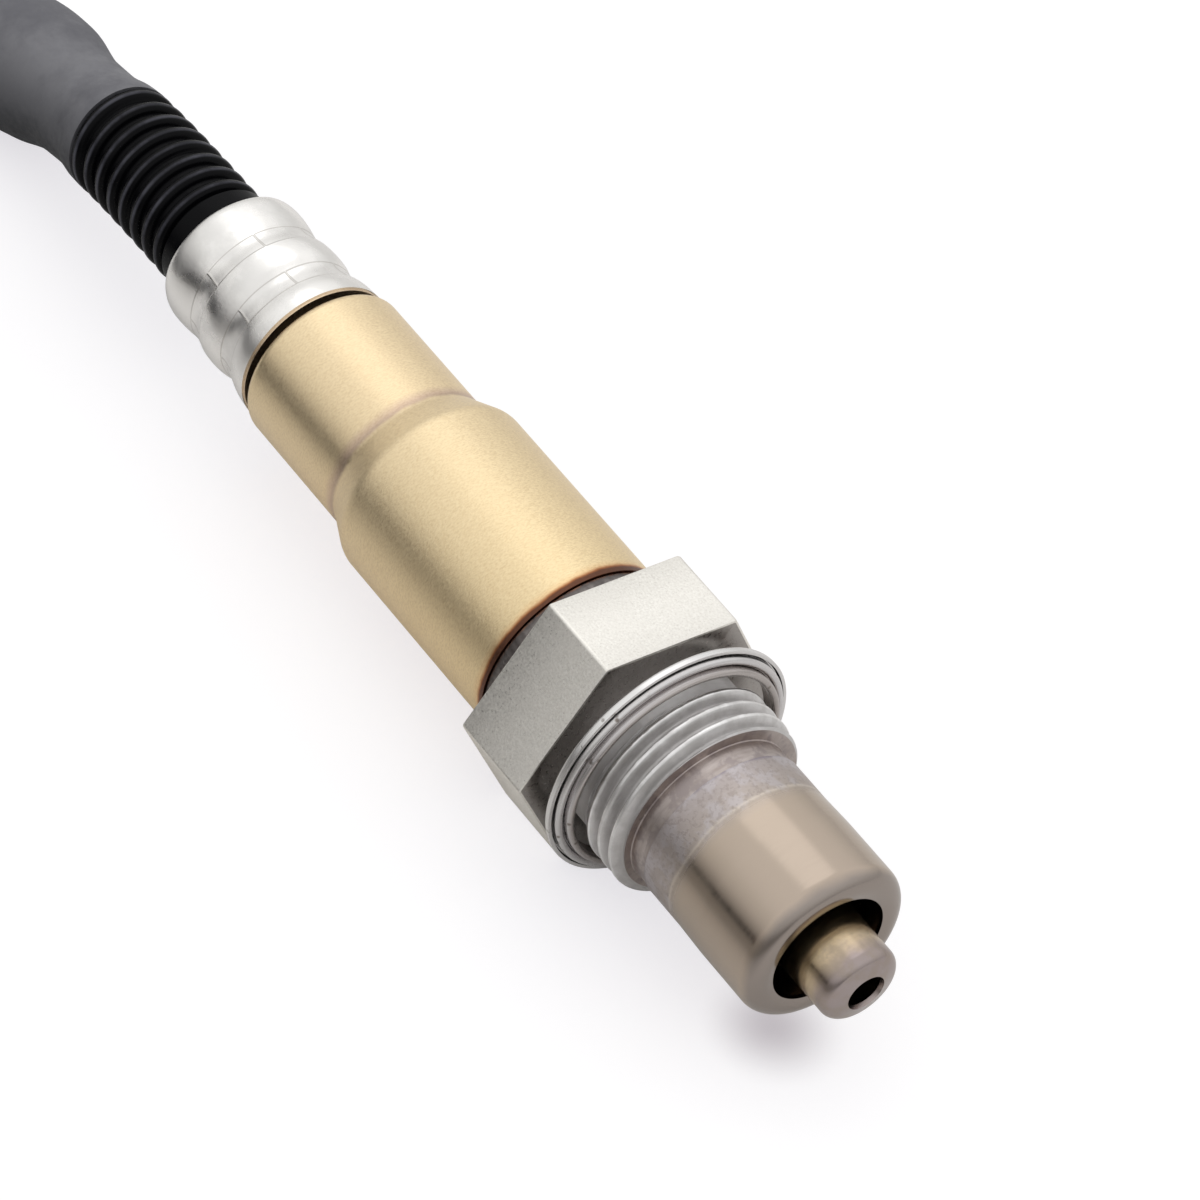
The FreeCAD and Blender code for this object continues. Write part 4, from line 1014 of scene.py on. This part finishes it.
# Lead and its straps
# A round jacketed cable from the cuff to the plug, put away in a neat coil that two woven straps hold.
# It is one smooth line: the points of its free runs are listed, and the coil's turns come from a loop.
cable_diameter = 0.007
lead_in_route = (
    (-0.106, -0.0042, -0.0047), (-0.1166, -0.00832, -0.0047), (-0.12596, -0.015, -0.0057),
    (-0.13312, -0.024, -0.0065), (-0.13762, -0.0347, -0.0065),
)
stub_length = 0.0245
coil_level = -0.0065
coil_top_rise = 0.007
coil_turn_radii = (0.0402, 0.0330, 0.0366)
coil_reach = 0.040
coil_out_angle = 270 + 720
coil_exit_radius = 0.0365
coil_exit_lead = 0.011
tail_steps = ((0.014, 0.0, 0.0005), (0.031, -0.0014, -0.004), (0.045, -0.0014, -0.004))
cap_length = 0.007

last = Vector(lead_in_route[-1])
way_in = (last - Vector(lead_in_route[-2])).normalized()
coil_touch = last + way_in * stub_length
coil_centre = coil_touch + Vector((-way_in.y, way_in.x, 0)) * coil_reach
coil_in_angle = math.degrees(math.atan2(coil_touch.y - coil_centre.y, coil_touch.x - coil_centre.x)) % 360
step_angle = 22.5
bulge_out = 8 / (6 + 2 * math.cos(math.radians(step_angle)))
cable_route = list(lead_in_route) + [tuple(last + way_in * (stub_length * 0.62))]
steps = round((coil_out_angle - coil_in_angle) / step_angle)
outer, inner, top = coil_turn_radii
for k in range(1, steps):
    turned_by = (coil_out_angle - coil_in_angle) * k / steps
    to_second = soft_step(turned_by, 320, 400)
    to_third = soft_step(turned_by, 660, 740)
    radius = (outer + (inner - outer) * to_second + (top - inner) * to_third) * bulge_out
    heading = math.radians(coil_in_angle + turned_by)
    cable_route.append((
        coil_centre.x + radius * math.cos(heading), coil_centre.y + radius * math.sin(heading),
        coil_level + coil_top_rise * to_third,
    ))
exit_y, exit_level = coil_centre.y - coil_exit_radius, coil_level + coil_top_rise
cable_route += [(coil_centre.x + along, exit_y, exit_level) for along in (coil_exit_lead, stub_length)]
for along, across, level in tail_steps:
    cable_route.append((coil_centre.x + stub_length + along, exit_y + across, level))
plug_entry = cable_route[-1]
cable_route.append((plug_entry[0] + cap_length, plug_entry[1], plug_entry[2]))

jacket, tree, shader, place = new_material("black_jacket", 0.45, 0.0)
fine = noise(tree, place, 1400.0, 4.0)
dusty = patchy(tree, place, 90.0, 0.4, 0.7)
painted(tree, shader, mixed(tree, dusty, (0.012, 0.012, 0.014), (0.024, 0.024, 0.027)))
roughened(tree, shader, fine, 0.36, 0.54)
bumped(tree, shader, fine, 0.2, 0.00004)

cable = route_curve("jacketed_lead", cable_route)
cable.data.bevel_depth = cable_diameter / 2
cable.data.bevel_resolution = 10
cable.data.use_fill_caps = True
cable.data.resolution_u = 12
cable.data.materials.append(jacket)
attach(cable, "root")
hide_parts("harness_lead_in", "harness_coil", "harness_tail")

strap_width = 7.0
strap_sheet = 0.40
strap_layer = 0.43          # from one layer of a strap to the next
strap_turns = 1.18          # its end lies on its start
strap_angles = (40, 218)
strap_slices = 8
turn_places = ((40.0, 0.0), (36.5, 7.0), (33.0, 0.0))

# Places and outward directions round the three turns of cable, in the plane of radius and height
line = []
for k, here in enumerate(turn_places):
    before, here, after = (Vector(turn_places[(k + step) % 3]) for step in (-1, 0, 1))
    edge_in, edge_out = here - before, after - here
    first = math.atan2(-edge_in.x, edge_in.y)
    sweep = (math.atan2(-edge_out.x, edge_out.y) - first) % (2 * math.pi)
    for step in range(13):
        angle = first + sweep * step / 12
        line.append((here, Vector((math.cos(angle), math.sin(angle)))))
inner, outer = [], []
for k in range(round(len(line) * strap_turns)):
    here, way = line[k % len(line)]
    reach = cable_diameter / 2 / MM + 0.05 + strap_layer * k / len(line)
    inner.append(here + way * reach)
    outer.append(here + way * (reach + strap_sheet))
strap_loop = inner + outer[::-1]
size = len(strap_loop)
lengths = [0.0]
for k in range(1, len(inner)):
    lengths.append(lengths[-1] + (inner[k] - inner[k - 1]).length * MM)
places, faces, threads = [], [], []
for middle in strap_angles:
    first = len(places)
    for k in range(strap_slices + 1):
        turned_by = math.radians(middle) + (k / strap_slices - 0.5) * strap_width / coil_turn_radii[2] * MM
        for n, (out, level) in enumerate(strap_loop):
            threads.append((lengths[min(n, size - 1 - n)], k / strap_slices * strap_width * MM, 0))
            places.append((
                coil_centre.x + out * MM * math.cos(turned_by), coil_centre.y + out * MM * math.sin(turned_by),
                coil_level + level * MM,
            ))
    for k in range(strap_slices):
        for n in range(size):
            after = (n + 1) % size
            low, high = first + k * size, first + (k + 1) * size
            faces.append((low + n, low + after, high + after, high + n))
    for low in (first, first + strap_slices * size):
        for n in range(len(inner) - 1):
            faces.append((low + n, low + n + 1, low + size - 2 - n, low + size - 1 - n))
straps = closed_piece("woven_straps", places, faces)
straps.data.attributes.new("threads", "FLOAT_VECTOR", "POINT")
for point, value in zip(straps.data.attributes["threads"].data, threads):
    point.vector = value

webbing, tree, shader, _ = new_material("black_webbing", 0.85, 0.0)
cloth = add(tree, "ShaderNodeAttribute", attribute_name="threads").outputs["Vector"]
threading = [
    add(tree, "ShaderNodeTexWave", {
        "Vector": cloth, "Scale": scale, "Distortion": 0.4, "Detail": 1.0,
    }, bands_direction=direction).outputs["Fac"]
    for scale, direction in ((520.0, "X"), (380.0, "Y"))
]
weave = calc(tree, "MULTIPLY", *threading)
painted(tree, shader, mixed(tree, weave, (0.010, 0.010, 0.011), (0.055, 0.055, 0.058)))
bumped(tree, shader, weave, 0.6, 0.00012)
straps.data.materials.append(webbing)
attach(straps, "root")
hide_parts("coil_ties")


# Ceramic core
# The printed ceramic element, held in the housing by two insulators, a pressed powder seal and a steel ring.
# The gas passes the element's tip inside the shields.
def dress(material, *names):
    """Gives a material to CAD nodes that keep their shape."""
    for name in names:
        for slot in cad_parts[name].material_slots:
            slot.material = material


def speckled(name, roughness, metallic, dark, light, scale, bump, *names):
    """Material with fine speckles between two colours, given to CAD nodes."""
    material, tree, shader, place = new_material(name, roughness, metallic)
    fine = noise(tree, place, scale, 4.0, 0.6)
    colour = mixed(tree, span(tree, fine, 0.3, 0.7), dark, light)
    middle = tuple((low + high) / 2 for low, high in zip(dark, light))
    painted(tree, shader, mixed(tree, patchy(tree, place, scale / 9, 0.35, 0.7), colour, middle))
    roughened(tree, shader, fine, roughness - 0.08, roughness + 0.08)
    bumped(tree, shader, fine, bump, 0.00003)
    dress(material, *names)
    return material


speckled("sintered_element", 0.60, 0.0, (0.66, 0.65, 0.58), (0.80, 0.79, 0.73), 1600.0, 0.2, "sensor_element")
speckled(
    "fired_steatite", 0.55, 0.0, (0.74, 0.72, 0.66), (0.86, 0.85, 0.80), 1200.0, 0.2,
    "front_insulator", "rear_insulator",
)
speckled("pressed_powder", 0.90, 0.0, (0.58, 0.57, 0.53), (0.74, 0.73, 0.69), 2600.0, 0.8, "powder_seal")
speckled("plain_steel", 0.36, 1.0, (0.46, 0.455, 0.45), (0.60, 0.595, 0.59), 1800.0, 0.25, "press_ring")


# Contacts
# Five sprung contacts of gilt sheet press on the element's pads. Two ceramic half shells hold them,
# and a steel clip holds the shells together.
speckled(
    "glazed_holder", 0.42, 0.0, (0.76, 0.74, 0.69), (0.86, 0.84, 0.79), 1000.0, 0.12,
    "contact_holder_upper", "contact_holder_lower",
)
speckled("blue_spring_steel", 0.30, 1.0, (0.36, 0.37, 0.40), (0.52, 0.53, 0.55), 2200.0, 0.2, "holder_clip")
speckled("gilt_contact", 0.28, 1.0, (0.72, 0.58, 0.30), (0.88, 0.74, 0.42), 2400.0, 0.15, "contact_springs")


# Leads and grommet
# Five insulated wires leave the contacts through a black rubber grommet, and join in the cable inside the boot.
# The grommet is squeezed by the sleeve's neck.
speckled("white_wire", 0.35, 0.0, (0.72, 0.72, 0.70), (0.84, 0.84, 0.82), 1500.0, 0.08, "inner_leads")
speckled("soft_black_rubber", 0.65, 0.0, (0.018, 0.018, 0.019), (0.040, 0.040, 0.042), 1500.0, 0.3, "grommet")
dress(jacket, "inner_cable")


# Plug
# A sealed six-way connector moulded in grained black plastic, with a rear cap, a grey lock and rust-red silicone seals.
# Its tinned terminals stand in the nose.
speckled(
    "grained_black_plastic", 0.52, 0.0, (0.016, 0.016, 0.018), (0.034, 0.034, 0.037), 2200.0, 0.45,
    "plug_housing", "plug_rear_cap",
)
speckled("grey_lock_plastic", 0.48, 0.0, (0.34, 0.34, 0.36), (0.46, 0.46, 0.48), 2000.0, 0.35, "plug_lock")
red_silicone = speckled(
    "red_silicone", 0.42, 0.0, (0.36, 0.10, 0.05), (0.50, 0.17, 0.09), 1300.0, 0.2, "plug_wire_seal",
)
speckled("tinned_terminal", 0.26, 1.0, (0.66, 0.66, 0.64), (0.84, 0.84, 0.82), 2400.0, 0.15, "plug_terminals")

# Front seal of the plug
# A soft silicone band with three rounded lips, stretched round the root of the nose.
nose_width = 15.0
nose_height = 9.6
nose_corner = 1.6
seal_length = 2.4
seal_height = 0.9
seal_base = 0.5
lip_count = 3
seal_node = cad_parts["plug_front_seal"]
seal_box = [seal_node.matrix_world @ Vector(corner) for corner in seal_node.bound_box]
seal_centre = sum(seal_box, Vector()) / 8
seal_section = []
for k in range(37):
    share = k / 36
    lip = (0.5 - 0.5 * math.cos(2 * math.pi * lip_count * share)) ** 0.7
    seal_section.append(((share - 0.5) * seal_length, seal_base + (seal_height - seal_base) * lip))
seal_section += [(seal_length / 2, 0), (-seal_length / 2, 0)]
loops = []
for corner, (side_y, side_z) in enumerate(((1, 1), (-1, 1), (-1, -1), (1, -1))):
    pivot = Vector((0, side_y * (nose_width / 2 - nose_corner), side_z * (nose_height / 2 - nose_corner)))
    for step in range(13):
        heading = math.radians(90 * corner + 7.5 * step)
        way = Vector((0, math.cos(heading), math.sin(heading)))
        loops.append([
            seal_centre + (pivot + way * (nose_corner + out) + Vector((along, 0, 0))) * MM
            for along, out in seal_section
        ])
seal = closed_loft("lip_seal", loops)
seal.data.materials.append(red_silicone)
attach(seal, "root")
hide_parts("plug_front_seal")
